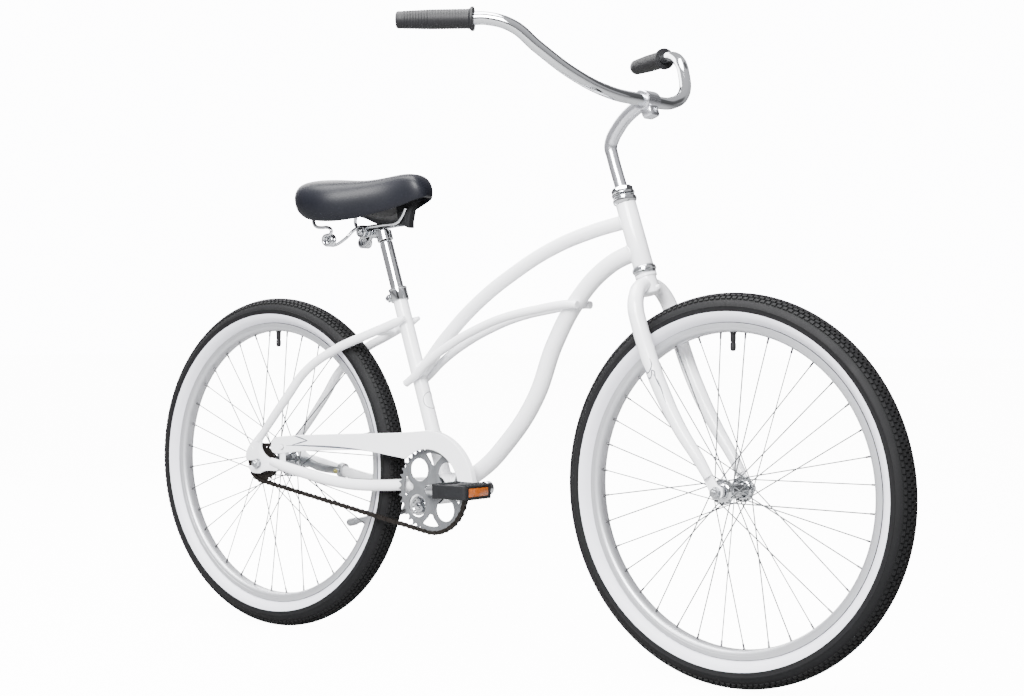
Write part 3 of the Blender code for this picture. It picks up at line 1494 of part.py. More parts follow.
cavity = skin(pan_rings(1.0, -0.03, saddle_foam_gap, 0))
combine(cushion, "DIFFERENCE", [add_tool(cavity, saddle_turn)])
pan_top = saddle_foam_gap - 3 * fit
pan = skin(pan_rings(0.87, pan_top - saddle_base_thickness, pan_top, fit))
base = add_piece("saddle_base", pan, PLASTIC, saddle_turn)
nose = saddle_rear + saddle_length
keel_outline = [
    (nose - 0.034, saddle_over_bolt - 0.033),
    (nose - 0.039, saddle_over_bolt - 0.1),
    (nose - 0.070, saddle_over_bolt - 0.089),
    (nose - 0.078, saddle_over_bolt - 0.0465),
]
keel = plate(keel_outline, 2 * saddle_keel_half)
combine(base, "UNION", [add_tool(keel, saddle_turn, (0, 0, 0), ACROSS)])

coil_centre_x = -0.061
coil_low_z = -0.026
spring_sides = 9
beside_keel = saddle_keel_half + rail_radius + fit


def rail_route(side):
    """A saddle wire: from the nose, over the bolt, round its rear spring and up under the rear edge."""
    front = [
        Vector((nose - 0.048, beside_keel, saddle_over_bolt - 0.061)),
        Vector((nose - 0.068, beside_keel + 0.003, saddle_over_bolt - 0.088)),
        Vector((0.03, rail_spread, rail_over_bolt + 0.0015)),
        Vector((0.012, rail_spread, rail_over_bolt)),
        Vector((-0.012, rail_spread, rail_over_bolt)),
        Vector((-0.034, 0.5 * (rail_spread + spring_spread), -0.013)),
    ]
    coil = []
    for k in range(spring_turn_count * spring_sides + 1):
        angle = tau * k / spring_sides
        place_y = spring_spread + spring_pitch * angle / tau - 0.5 * spring_pitch * spring_turn_count
        place_x = coil_centre_x - spring_radius * sin(angle)
        coil.append(Vector((place_x, place_y, coil_low_z + spring_radius * (1 - cos(angle)))))
    rear = [
        Vector((-0.09, coil[-1].y + 0.0005, coil_low_z + 0.006)),
        Vector((-0.116, coil[-1].y, 0.002)),
        Vector((-0.1205, coil[-1].y, 0.012)),
        Vector((-0.111, coil[-1].y - 0.002, 0.0225)),
        Vector((-0.095, coil[-1].y - 0.004, saddle_over_bolt - 0.07)),
        Vector((-0.087, coil[-1].y - 0.006, saddle_over_bolt - 0.0625)),
    ]
    route = front + coil + rear
    return [Vector((p.x, side * p.y, p.z)) for p in route]


def least_gap(route, radius):
    """The least distance between stretches of a wire that aren't next to each other."""
    reach = spring_sides // 2
    gaps = [(a - b).length for i, a in enumerate(route) for b in route[i + reach :]]
    return min(gaps) - 2 * radius


for name, side in SIDES:
    wire = rail_route(side)
    rail = add_piece(f"saddle_rail_{name}", tube(wire, rail_radius, 6, (0, 1, 0)), CHROME, saddle_turn)
print(f"saddle wire: least gap to itself {1000 * least_gap(rail_route(1), rail_radius):.2f} mm")

bpy.context.view_layer.update()
for joint in (steering, front_wheel, rear_wheel, crank_turn, bar_turn, saddle_turn, kickstand_turn):
    print(joint.name, [round(value, 4) for value in joint.matrix_world.translation])
for name, _ in SIDES:
    place = bpy.data.objects[f"pedal_{name}_axis"].matrix_world.translation
    print(f"pedal_{name}_axis", [round(value, 4) for value in place])
print("kickstand plate", [round(value, 4) for value in bracket_centre])
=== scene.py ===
from math import atan2, cos, degrees, pi, radians, sin, sqrt, tan, tau

import bmesh
import bpy
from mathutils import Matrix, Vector


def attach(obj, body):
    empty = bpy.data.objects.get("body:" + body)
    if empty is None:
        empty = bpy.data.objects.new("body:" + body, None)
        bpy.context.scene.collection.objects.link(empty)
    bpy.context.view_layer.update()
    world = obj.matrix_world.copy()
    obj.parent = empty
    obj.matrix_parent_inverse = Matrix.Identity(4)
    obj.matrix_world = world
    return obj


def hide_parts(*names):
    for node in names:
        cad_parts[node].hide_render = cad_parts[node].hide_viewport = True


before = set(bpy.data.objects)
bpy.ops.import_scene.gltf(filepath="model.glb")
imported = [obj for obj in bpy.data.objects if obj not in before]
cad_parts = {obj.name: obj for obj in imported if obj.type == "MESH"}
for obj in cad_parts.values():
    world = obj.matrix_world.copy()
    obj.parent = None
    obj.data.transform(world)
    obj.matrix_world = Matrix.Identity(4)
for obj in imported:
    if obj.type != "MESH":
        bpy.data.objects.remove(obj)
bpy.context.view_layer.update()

# The place that the bicycle is shown in: a pale floor that runs out of sight, a white room and soft lights.
# The floor glows to the camera alone, so that it looks as white as the room. The camera stands ahead and to
# the right.
view_point = Vector((2.1375, -2.6667, 0.6107))
view_target = Vector((0.066, 0, 0.57))
bpy.ops.object.camera_add(location=view_point)
camera = bpy.context.object
camera.rotation_euler = (view_target - view_point).to_track_quat("-Z", "Y").to_euler()
camera.data.sensor_width = 36
camera.data.lens = 64.55
bpy.context.scene.camera = camera
floor_light = 13
room_light = 14


def linear(hex_colour):
    """A colour picker's sRGB value, such as F4F4F5, as the linear colour that a shader takes."""
    parts = [int(hex_colour[k : k + 2], 16) / 255 for k in (0, 2, 4)]
    return [p / 12.92 if p <= 0.04045 else ((p + 0.055) / 1.055) ** 2.4 for p in parts] + [1]


def add_node(tree, kind, inputs=None, **settings):
    """Adds a node. An input takes a number, a colour or the output of another node."""
    node = tree.nodes.new("ShaderNode" + kind)
    for name, value in settings.items():
        setattr(node, name, value)
    for name, value in (inputs or {}).items():
        if isinstance(value, bpy.types.NodeSocket):
            tree.links.new(value, node.inputs[name])
        else:
            node.inputs[name].default_value = value
    return node


def blend_tones(tree, share, tones):
    """Colours a finish from two sRGB tones, mixed by a share that varies over it."""
    tone = add_node(tree, "MixRGB", {"Fac": share, "Color1": linear(tones[0]), "Color2": linear(tones[1])})
    tree.links.new(tone.outputs["Color"], tree.nodes["Principled BSDF"].inputs["Base Color"])


def set_range(tree, socket, share, limits):
    """Drives a socket of the shader between two limits by a share that varies."""
    level = add_node(tree, "MapRange", {"Value": share, "To Min": limits[0], "To Max": limits[1]})
    tree.links.new(level.outputs["Result"], tree.nodes["Principled BSDF"].inputs[socket])


def raise_grain(tree, height, strength, depth):
    """Raises a fine grain on a finish."""
    bump = add_node(tree, "Bump", {"Height": height, "Strength": strength, "Distance": depth})
    tree.links.new(bump.outputs["Normal"], tree.nodes["Principled BSDF"].inputs["Normal"])


def new_finish(name, roughness, metallic=0, tones=(), patches=None, grain=None, coat=(0, 0.03), specular=0.5):
    """A finish. Patches of noise (scale, detail) mix its two tones, or the two limits of its roughness.
    A grain is its size, detail (0 gives round cells), strength and depth. A coat is its weight and roughness.
    """
    material = bpy.data.materials.new(name)
    material.use_nodes = True
    tree = material.node_tree
    inputs = tree.nodes["Principled BSDF"].inputs
    inputs["Metallic"].default_value = metallic
    inputs["Coat Weight"].default_value, inputs["Coat Roughness"].default_value = coat
    inputs["Specular IOR Level"].default_value = specular
    spot = add_node(tree, "TexCoord").outputs["Object"]
    if patches:
        scale, detail = patches
        share = add_node(tree, "TexNoise", {"Vector": spot, "Scale": scale, "Detail": detail}).outputs["Fac"]
    if len(tones) == 2:
        blend_tones(tree, share, tones)
    elif tones:
        inputs["Base Color"].default_value = linear(tones[0])
    if isinstance(roughness, tuple):
        set_range(tree, "Roughness", share, roughness)
    else:
        inputs["Roughness"].default_value = roughness
    if grain:
        size, detail, strength, depth = grain
        cells = {"Vector": spot, "Scale": 1 / size}
        if detail:
            height = add_node(tree, "TexNoise", {**cells, "Detail": detail}).outputs["Fac"]
        else:
            height = add_node(tree, "TexVoronoi", cells).outputs["Distance"]
        raise_grain(tree, height, strength, depth)
    return material


floor_finish = new_finish("matte white paper", 0.9, tones=("959595", "8F8F8F"), patches=(40, 3))
tree = floor_finish.node_tree
seen = add_node(tree, "LightPath").outputs["Is Camera Ray"]
tree.nodes["Principled BSDF"].inputs["Emission Color"].default_value = linear("FFFFFF")
set_range(tree, "Emission Strength", seen, (0, floor_light))
bpy.ops.mesh.primitive_plane_add(size=60, location=(0, 0, -0.0005))
floor = bpy.context.object
floor.name = "floor"
floor.data.materials.append(floor_finish)

# The room is white all round, and brighter overhead. Polished metal also mirrors two dark screens that stand
# upright in it, one close beside the camera and one far round to its right.
room = bpy.data.worlds.new("white room")
bpy.context.scene.world = room
room.use_nodes = True
tree = room.node_tree
gaze = add_node(tree, "TexCoord").outputs["Generated"]
gaze = add_node(tree, "SeparateXYZ", {"Vector": gaze}).outputs
skyward = {"Value": gaze["Z"], "From Min": -0.1, "From Max": 0.9, "To Min": 0.45, "To Max": 0.9}
height = add_node(tree, "MapRange", skyward)
heading = add_node(tree, "Math", {0: gaze["Y"], 1: gaze["X"]}, operation="ARCTAN2")
compass = add_node(tree, "MapRange", {"Value": heading.outputs[0], "From Min": -pi, "From Max": pi})
screens = add_node(tree, "ValToRGB", {"Fac": compass.outputs["Result"]})
stops = screens.color_ramp.elements
camera_heading = atan2(view_point.y, view_point.x)
dark_screens = [(-30, -8, 0.16), (88, 135, 0.22)]
for start, end, shade in dark_screens:
    for angle, grey in ((start - 3, 1), (start, shade), (end, shade), (end + 3, 1)):
        stop = stops.new(((camera_heading + radians(angle) + pi) / tau) % 1)
        stop.color = (grey, grey, grey, 1)
stops[0].color = stops[-1].color = (1, 1, 1, 1)
factors = {0: height.outputs["Result"], 1: screens.outputs["Color"]}
glow = add_node(tree, "Math", factors, operation="MULTIPLY")
seen = add_node(tree, "LightPath").outputs["Is Camera Ray"]
level = add_node(tree, "MapRange", {"Value": seen, "To Min": glow.outputs[0], "To Max": room_light})
tree.links.new(level.outputs["Result"], tree.nodes["Background"].inputs["Strength"])
tree.nodes["Background"].inputs["Color"].default_value = linear("FCFCFF")
soft_lights = [
    ("key", (1.4, -3.5, 3), 2.2, 760), ("top", (-0.6, -0.6, 4), 2.6, 420),
    ("rear", (-3.2, 1.6, 2.4), 2.2, 120),
]
for name, place, width, power in soft_lights:
    bpy.ops.object.light_add(type="AREA", location=place)
    lamp = bpy.context.object
    lamp.name = f"{name}_light"
    lamp.data.size = width
    lamp.data.energy = power
    aim = Vector((0, 0, 0.5)) - Vector(place)
    lamp.rotation_euler = aim.to_track_quat("-Z", "Y").to_euler()


# Head tube: a short steel tube that the whole front of the frame is welded to, and that the fork turns in. It
# leans back at 71.5 degrees, so that its line meets the ground ahead of the front tyre's contact.
wheel_base = 1.074
tyre_radius = 0.3335
front_axle = Vector((wheel_base / 2, 0, tyre_radius))
rear_axle = Vector((-wheel_base / 2, 0, tyre_radius))
ENDS = (("front", front_axle), ("rear", rear_axle))
head_angle = radians(71.5)
fork_offset = 0.051
steering_up = Vector((-cos(head_angle), 0, sin(head_angle)))
steering_forward = Vector((sin(head_angle), 0, cos(head_angle)))
steering_foot = front_axle - fork_offset * steering_forward
steering_turn = (0, head_angle - pi / 2, 0)


def draw(points, closed=False):
    """A line through the points, drawn by extruding one vertex, and left in edit mode all selected."""
    bpy.ops.object.select_all(action="DESELECT")
    bpy.ops.mesh.primitive_plane_add(size=0.01)
    piece = bpy.context.object
    bpy.ops.object.mode_set(mode="EDIT")
    bpy.ops.mesh.select_all(action="SELECT")
    bpy.ops.mesh.merge(type="CENTER")
    bpy.ops.transform.translate(value=points[0])
    for before, point in zip(points, points[1:]):
        step = Vector(point) - Vector(before)
        bpy.ops.mesh.extrude_vertices_move(TRANSFORM_OT_translate={"value": step})
    if closed:
        select_verts(piece, lambda v: v.index in (0, len(points) - 1))
        bpy.ops.mesh.edge_face_add()
    bpy.ops.mesh.select_all(action="SELECT")
    return piece


def select_verts(piece, wanted):
    """Selects the vertices that pass a test, in edit mode."""
    bpy.ops.mesh.select_mode(type="VERT")
    bpy.ops.mesh.select_all(action="DESELECT")
    shape = bmesh.from_edit_mesh(piece.data)
    shape.verts.index_update()
    for vertex in shape.verts:
        vertex.select = bool(wanted(vertex))
    shape.select_flush_mode()
    bmesh.update_edit_mesh(piece.data)


def close_up(piece):
    """Welds what meets, turns every face outwards and leaves edit mode."""
    bpy.ops.mesh.select_all(action="SELECT")
    bpy.ops.mesh.remove_doubles(threshold=1e-6)
    bpy.ops.mesh.normals_make_consistent(inside=False)
    bpy.ops.object.mode_set(mode="OBJECT")
    return piece


def pick(piece):
    """Makes a piece the only selected one."""
    bpy.ops.object.select_all(action="DESELECT")
    piece.select_set(True)
    bpy.context.view_layer.objects.active = piece
    return piece


def set_down(piece, place=(0, 0, 0), turn=(0, 0, 0)):
    """Turns and moves a piece into its place, which is then kept in its mesh."""
    pick(piece)
    piece.location = place
    piece.rotation_euler = turn
    bpy.ops.object.transform_apply()
    return piece


def shape_with(piece, kind, **settings):
    """Adds a modifier to a piece, sets it and applies it."""
    pick(piece)
    bpy.ops.object.modifier_add(type=kind)
    modifier = piece.modifiers[-1]
    for name, value in settings.items():
        setattr(modifier, name, value)
    bpy.ops.object.modifier_apply(modifier=modifier.name)
    return piece


def smooth(piece, angle=35, bevel=0):
    """Breaks the sharp edges of a piece by a small bevel, and shades its round sides smooth."""
    if bevel:
        shape_with(piece, "BEVEL", width=bevel, segments=2, limit_method="ANGLE", angle_limit=radians(40))
    pick(piece)
    bpy.ops.object.shade_smooth_by_angle(angle=radians(angle))
    return piece


def lathe(profile, place=(0, 0, 0), turn=(0, 0, 0), steps=48, closed=False, bevel=0):
    """A piece turned about local Z from (radius, height) points, then set in its place."""
    piece = draw([(radius, 0, height) for radius, height in profile], closed)
    bpy.ops.mesh.spin(steps=steps, angle=tau, center=(0, 0, 0), axis=(0, 0, 1))
    close_up(piece)
    smooth(piece, bevel=bevel)
    return set_down(piece, place, turn)


def plain_wall(inner, outer, low, high):
    """The profile of a straight bar or ring, from its two radii and its two ends."""
    return [(inner, low), (outer, low), (outer, high), (inner, high)]


def join(pieces):
    """Makes one piece of several."""
    pick(pieces[0])
    for piece in pieces[1:]:
        piece.select_set(True)
    if len(pieces) > 1:
        bpy.ops.object.join()
    return pieces[0]


def copy_of(piece):
    """A second piece like this one, with a mesh of its own."""
    pick(piece)
    bpy.ops.object.duplicate(linked=False)
    return bpy.context.object


def cut_away(piece, cutter):
    """Cuts the shape of another piece out of this one. The cutter is used up."""
    shape_with(piece, "BOOLEAN", operation="DIFFERENCE", object=cutter)
    bpy.data.objects.remove(cutter)


def facing(way):
    """The turn that brings local Z to this way."""
    return way.to_track_quat("Z", "Y").to_euler()


def fit_piece(piece, finish, body, slot, *solids, name=None):
    """Names a finished piece, gives it its material and its body, and lets it stand for its plain solids."""
    piece.name = piece.data.name = name or f"{solids[0]}_skin"
    piece.data.materials.clear()
    piece.data.materials.append(finish)
    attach(piece, body)
    if solids:
        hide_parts(*solids)


# Baked gloss enamel over steel: the film levels out to a near mirror, with a faint orange peel a few
# millimetres wide, and its white is a little cooler where it is thin.
enamel = new_finish(
    "baked white gloss enamel",
    (0.24, 0.36),
    tones=("F7F7F9", "F0F1F5"),
    patches=(6, 2),
    grain=(0.003, 1, 0.04, 0.0004),
    coat=(0.7, 0.06),
)

head_low = 0.419
head_high = 0.535
head_radius = 0.018
head_profile = plain_wall(0.0165, head_radius, head_low, head_high)
head_tube = lathe(head_profile, steering_foot, steering_turn, 64, True, 0.0006)
fit_piece(head_tube, enamel, "frame", "white_paint", "head_tube")


# Main frame tubes: a curved top tube and a deeply curved down tube, bent on a mandrel, and the straight seat
# tube. All are mitred and welded, with a smooth bead at each joint, before the frame is painted.
seat_angle = radians(71.8)
seat_up = Vector((-cos(seat_angle), 0, sin(seat_angle)))
seat_turn = (0, seat_angle - pi / 2, 0)
bottom_bracket_drop = 0.0301
crank_reach = sqrt(0.4487**2 - bottom_bracket_drop**2)
crank_axis = rear_axle + Vector((crank_reach, 0, -bottom_bracket_drop))
seat_tube_length = 0.3985
seat_tube_radius = 0.0143
post_radius = 0.0127
across = (pi / 2, 0, 0)
sideways = Vector((0, 1, 0))


def on_head_tube(distance):
    """The point this far up the steering axis from its foot."""
    return steering_foot + distance * steering_up


def on_seat_tube(distance):
    """The point this far up the seat tube from the crank's axis."""
    return crank_axis + distance * seat_up


def bowed(start, end, bows):
    """A tube's route. A bow is a share of the way, a rise above the straight line and a place sideways."""
    way = Vector((end.x - start.x, 0, end.z - start.z))
    rise = Vector((-way.z, 0, way.x)).normalized()
    if rise.z < 0:
        rise = -rise
    route = [start]
    for share, height, side in bows:
        point = start + share * way + height * rise
        point.y = side
        route.append(point)
    return [*route, end]


def bent_tube(route, radius, radii=None, oval=None, steps=6, roundness=8, closed=False):
    """A tube bent smoothly through the points of its route. Radii are shares of the radius at each point."""
    bpy.ops.object.select_all(action="DESELECT")
    bpy.ops.curve.primitive_bezier_curve_add()
    piece = bpy.context.object
    curve = piece.data
    line = curve.splines[0]
    line.bezier_points.add(len(route) - 2)
    for k, point in enumerate(line.bezier_points):
        point.co = route[k]
        point.handle_left_type = "AUTO"
        point.handle_right_type = "AUTO"
        point.radius = radii[k] if radii else 1
    line.use_cyclic_u = closed
    curve.resolution_u = steps
    curve.twist_mode = "Z_UP" if oval else "MINIMUM"
    curve.use_fill_caps = not closed
    if oval:
        bpy.ops.curve.primitive_bezier_circle_add(radius=1)
        section = bpy.context.object
        section.scale = (oval[0], oval[1], 1)
        section.data.resolution_u = roundness + 1
        bpy.ops.object.transform_apply()
        curve.bevel_mode = "OBJECT"
        curve.bevel_object = section
    else:
        curve.bevel_depth = radius
        curve.bevel_resolution = roundness
    pick(piece)
    bpy.ops.object.convert(target="MESH")
    if oval:
        bpy.data.objects.remove(section)
    bpy.ops.object.mode_set(mode="EDIT")
    close_up(piece)
    return smooth(piece, 50)


def bead(point, toward, radius, onto_point, onto_way, onto_radius, size=0.0022):
    """A weld bead: a ring that follows the line where a tube of this radius meets another tube's surface."""
    way = (toward - point).normalized()
    side = way.cross(Vector((0.3, 1, 0.2))).normalized()
    up = way.cross(side)
    axis = onto_way.normalized()
    ring = []
    for k in range(20):
        angle = tau * k / 20
        start = point + radius * (cos(angle) * side + sin(angle) * up) - onto_point
        flat_start = start - start.dot(axis) * axis
        flat_way = way - way.dot(axis) * axis
        a = flat_way.dot(flat_way)
        b = flat_start.dot(flat_way)
        c = flat_start.dot(flat_start) - onto_radius**2
        reach = b * b - a * c
        distance = (-b - sqrt(reach)) / a if reach > 0 else -b / a
        ring.append(onto_point + start + distance * way)
    return bent_tube(ring, size, steps=3, roundness=2, closed=True)


shell_radius = 0.0285
top_tube_radius = 0.0127
down_tube_radius = 0.0159
top_bows = [
    (0.145, 0.0265, 0), (0.299, 0.0455, 0), (0.472, 0.0522, 0), (0.662, 0.0476, 0), (0.82, 0.0309, 0),
    (0.941, 0.0106, 0),
]
down_bows = [
    (0.104, 0.0265, 0), (0.244, 0.0325, 0), (0.392, 0.014, 0), (0.563, -0.0261, 0), (0.736, -0.0379, 0),
    (0.871, -0.0306, 0),
]
top_route = bowed(on_head_tube(0.504), on_seat_tube(0.2228), top_bows)
down_route = bowed(on_head_tube(0.4493), crank_axis, down_bows)
top_beads = [
    bead(top_route[1], top_route[0], top_tube_radius, steering_foot, steering_up, head_radius),
    bead(top_route[-2], top_route[-1], top_tube_radius, crank_axis, seat_up, seat_tube_radius),
]
down_beads = [
    bead(down_route[1], down_route[0], down_tube_radius, steering_foot, steering_up, head_radius),
    bead(down_route[-2], down_route[-1], down_tube_radius, crank_axis, sideways, shell_radius),
]
top_bend = bent_tube(top_route, top_tube_radius, steps=12, roundness=12)
down_bend = bent_tube(down_route, down_tube_radius, steps=12, roundness=12)
bore = lathe(plain_wall(0, 0.017, 0.4, 0.56), steering_foot, steering_turn, 64)
cut_away(top_bend, copy_of(bore))
cut_away(down_bend, bore)
fit_piece(join([top_bend, *top_beads]), enamel, "frame", "white_paint", "top_tube")
fit_piece(join([down_bend, *down_beads]), enamel, "frame", "white_paint", "down_tube")

seat_profile = plain_wall(post_radius + 0.0003, seat_tube_radius, 0.0265, seat_tube_length)
seat_body = lathe(seat_profile, crank_axis, seat_turn, 48, True)
seat_bead = bead(on_seat_tube(0.1), crank_axis, seat_tube_radius, crank_axis, sideways, shell_radius)
fit_piece(join([seat_body, seat_bead]), enamel, "frame", "white_paint", "seat_tube")

shell_half = 0.034
shell_profile = plain_wall(0.0256, shell_radius, -shell_half, shell_half)
shell = lathe(shell_profile, crank_axis, across, 64, True, 0.0008)
fit_piece(shell, enamel, "frame", "white_paint", "bottom_bracket_shell")


# Side bars: a pair of thin curved tubes that run from beside the down tube, under the top tube, to beyond the
# seat tube, and end blunt, a little past the tubes that they are welded to.
def crossing(route, axis, value):
    """The point where a route first passes this value along an axis (0, 1 or 2)."""
    for a, b in zip(route, route[1:]):
        if min(a[axis], b[axis]) <= value <= max(a[axis], b[axis]):
            return a.lerp(b, (value - a[axis]) / (b[axis] - a[axis]))
    return route[-1]


side_bar_radius = 0.00795
side_bar_spread = 0.021
bar_front = crossing(down_route, 2, 0.648) + Vector((0.019, 0, 0))
bar_rear = on_seat_tube(0.207) - Vector((0.021, 0, 0))
bar_bows = [
    (0.034, 0.0065), (0.205, 0.0239), (0.386, 0.0363), (0.533, 0.0382), (0.691, 0.0333), (0.841, 0.0207),
    (0.946, 0.0053),
]
SIDES = (("right", -1), ("left", 1))
for name, side in SIDES:
    spread = Vector((0, side * side_bar_spread, 0))
    bows = [(share, rise, side * side_bar_spread) for share, rise in bar_bows]
    route = bowed(bar_front + spread, bar_rear + spread, bows)
    shares = [0.88, 1, 1, 1, 1, 1, 1, 1, 0.88]
    side_bar = bent_tube(route, side_bar_radius, shares, steps=10)
    fit_piece(side_bar, enamel, "frame", "white_paint", f"side_bar_{name}")


# Rear triangle: flattened chain stays, round seat stays over the tyre, two bridges between them, and the
# stamped plates that hold the axle, welded into the ends of the stays.
dropout_thickness = 0.004
plate_bevel = 0.0006
dropout_middle = 0.0573
rear_slot = 0.0055


def stamp(outline, thickness, place=(0, 0, 0), turn=(0, 0, 0), bevel=0):
    """A plate: its outline drawn in local XY, filled, pulled to its thickness and eased by a bevel."""
    piece = draw([(x, y, -thickness / 2) for x, y in outline], True)
    bpy.ops.mesh.edge_face_add()
    bpy.ops.mesh.select_all(action="SELECT")
    bpy.ops.mesh.extrude_region_move(TRANSFORM_OT_translate={"value": (0, 0, thickness)})
    close_up(piece)
    smooth(piece, 30, bevel)
    return set_down(piece, place, turn)


def arc(centre, radius, start, end, steps):
    """Points round part of a circle, from one angle to another in degrees."""
    turns = [radians(start + (end - start) * k / steps) for k in range(steps + 1)]
    return [(centre[0] + radius * cos(a), centre[1] + radius * sin(a)) for a in turns]


def mitre_round(corners, radius, steps=4):
    """An outline whose corners are rounded off with the given radius, or less where the sides are short."""
    points = []
    for before, here, after in zip(corners[-1:] + corners, corners, corners[1:] + corners[:1]):
        here = Vector(here)
        one = Vector(before) - here
        two = Vector(after) - here
        cut = min(radius, 0.45 * one.length, 0.45 * two.length)
        start = here + cut * one.normalized()
        end = here + cut * two.normalized()
        for k in range(steps + 1):
            t = k / steps
            points.append((1 - t) ** 2 * start + 2 * t * (1 - t) * here + t**2 * end)
    return [(p.x, p.y) for p in points]


dropout_corners = [
    (0.0328, 0.0768), (0.0252, 0.0832), (-0.008, 0.053), (-0.023, 0.038), (-0.033, 0.024), (-0.0355, 0.013),
    (-0.0335, rear_slot),
]
dropout_lower = [
    (-0.0295, -rear_slot), (-0.024, -0.014), (-0.014, -0.02), (0.006, -0.02), (0.016, -0.015),
    (0.032, -0.013), (0.056, -0.013), (0.056, 0.005), (0.036, 0.01), (0.024, 0.0155), (0.0155, 0.022),
    (0.0095, 0.031), (0.009, 0.042), (0.013, 0.052),
]
dropout_outline = mitre_round(
    dropout_corners + arc((0, 0), rear_slot, 90, -90, 12) + dropout_lower, 0.004
)


def chain_stay_route(side):
    """A chain stay leaves the shell close in, clears the tyre and ends on the axle's plate."""
    start = rear_axle + Vector((0.036, side * dropout_middle, 0.0055))
    end = crank_axis + Vector((0, side * 0.024, 0))
    bows = [
        (0.1, -0.0065, 0.0555), (0.211, -0.0115, 0.052), (0.417, -0.0182, 0.0465), (0.56, -0.0165, 0.0415),
        (0.706, -0.0089, 0.0355), (0.833, -0.0013, 0.0268),
    ]
    return bowed(start, end, [(share, rise, side * y) for share, rise, y in bows])


def seat_stay_route(side):
    """A seat stay runs from beside the seat tube, over the tyre, down to the axle's plate."""
    start = on_seat_tube(0.334) + Vector((0.016, side * 0.021, 0.005))
    end = rear_axle + Vector((0.001, side * dropout_middle, 0.046))
    bows = [
        (0.052, 0.0055, 0.021), (0.217, 0.0235, 0.033), (0.391, 0.0415, 0.042), (0.577, 0.0465, 0.05),
        (0.742, 0.029, 0.0555), (0.876, 0.0145, dropout_middle),
    ]
    return bowed(start, end, [(share, rise, side * y) for share, rise, y in bows])


guard_bolt_place = rear_axle + Vector((0.068, 0, 0.0357))
for name, side in SIDES:
    plate_centre = rear_axle + side * dropout_middle * sideways
    plate = stamp(dropout_outline, dropout_thickness, plate_centre, across, plate_bevel)
    eyelets = []
    for x, z in ((-0.0046, 0.0477), (-0.0184, 0.0287)):
        ring = [(0.0022, -0.0004), (0.0022, 0.0004), (0.0046, 0.0004), (0.0052, -0.0004)]
        place = rear_axle + Vector((x, side * (dropout_middle + dropout_thickness / 2), z))
        eyelets.append(lathe(ring, place, across, 24, True))
    dropout = join([plate, *eyelets])
    fit_piece(dropout, enamel, "frame", "white_paint", f"dropout_{name}")

    route = chain_stay_route(side)
    stay = bent_tube(route, 0, [0.72, 0.95, 1, 1, 1, 1, 1, 1], oval=(0.0085, 0.011), steps=8, roundness=6)
    parts = [stay, bead(route[-2], route[-1], 0.0095, crank_axis, sideways, shell_radius)]
    if name == "right":
        at_bolt = crossing(route, 0, guard_bolt_place.x)
        tab_outline = mitre_round([(-0.008, -0.002), (0.008, -0.002), (0.007, 0.044), (-0.007, 0.044)], 0.006)
        tab_height = guard_bolt_place.z + 0.009 - at_bolt.z
        tab_outline = [(x, y / 0.044 * tab_height) for x, y in tab_outline]
        parts.append(stamp(tab_outline, 0.0022, (at_bolt.x, -0.0566, at_bolt.z), across, plate_bevel))
    fit_piece(join(parts), enamel, "frame", "white_paint", f"chain_stay_{name}")

    route = seat_stay_route(side)
    stay = bent_tube(route, 0.0088, [0.45, 1, 1, 1, 1, 1, 0.95, 0.72], steps=8)
    fit_piece(stay, enamel, "frame", "white_paint", f"seat_stay_{name}")

bridge_at = crossing(seat_stay_route(1), 2, 0.6)
bridge_ends = [Vector((bridge_at.x, side * (bridge_at.y - 0.002), bridge_at.z)) for side in (1, -1)]
bridge = bent_tube(bridge_ends, 0.008, roundness=6)
fit_piece(bridge, enamel, "frame", "white_paint", "seat_stay_bridge")

kickstand_pivot = Vector((-0.1575, 0.025, 0.265))
bracket_at = crossing(chain_stay_route(1), 0, -0.15)


def solid_block(low, high, bevel=0.001):
    """A block between two corners, with its edges eased."""
    low, high = Vector(low), Vector(high)
    bpy.ops.object.select_all(action="DESELECT")
    bpy.ops.mesh.primitive_cube_add(size=1, location=(low + high) / 2)
    piece = bpy.context.object
    piece.scale = high - low
    bpy.ops.object.transform_apply()
    return smooth(piece, 30, bevel)


fold_axis = Vector((0, -0.987, -0.161)).normalized()
plate_half = Vector((0.025, bracket_at.y - 0.004, 0.0025))
plate_centre = Vector((bracket_at.x, 0, bracket_at.z))
bridge_plate = solid_block(plate_centre - plate_half, plate_centre + plate_half)
bridge_block = solid_block((-0.1735, -0.017, 0.251), (-0.1415, 0.0165, bracket_at.z - 0.002), 0.003)
bracket = join([bridge_plate, bridge_block])
fit_piece(bracket, enamel, "frame", "white_paint", "chain_stay_bridge", name="kickstand_bracket")


# Seat collar: a pressed steel band with two ears behind, pinched on the seat tube by a plated hexagon bolt.
# The same chromium plate is on the round cap that covers the kickstand's spring, on the right of its bracket.
chrome = new_finish(
    "chromium plate over polished steel",
    (0.04, 0.12),
    metallic=1,
    tones=("D6D8DB",),
    patches=(35, 3),
    grain=(1 / 120, 1, 0.02, 0.0005),
)

spring_cap = [
    (0, -0.0005), (0.0175, -0.0005), (0.0185, 0.0005), (0.0185, 0.0025), (0.0172, 0.0036), (0.0135, 0.0036),
    (0.0118, 0.0022), (0.0075, 0.0022), (0.0066, 0.0046), (0.0055, 0.0056), (0, 0.0062),
]
kickstand_cap = lathe(spring_cap, (-0.1445, -0.017, 0.268), across, 64)
fit_piece(kickstand_cap, chrome, "frame", "chrome", name="kickstand_cap")


def cylinder(radius, depth, place=(0, 0, 0), sides=48):
    """A plain cylinder along local Z, round its place."""
    bpy.ops.object.select_all(action="DESELECT")
    bpy.ops.mesh.primitive_cylinder_add(vertices=sides, radius=radius, depth=depth, location=place)
    bpy.ops.object.transform_apply()
    return bpy.context.object


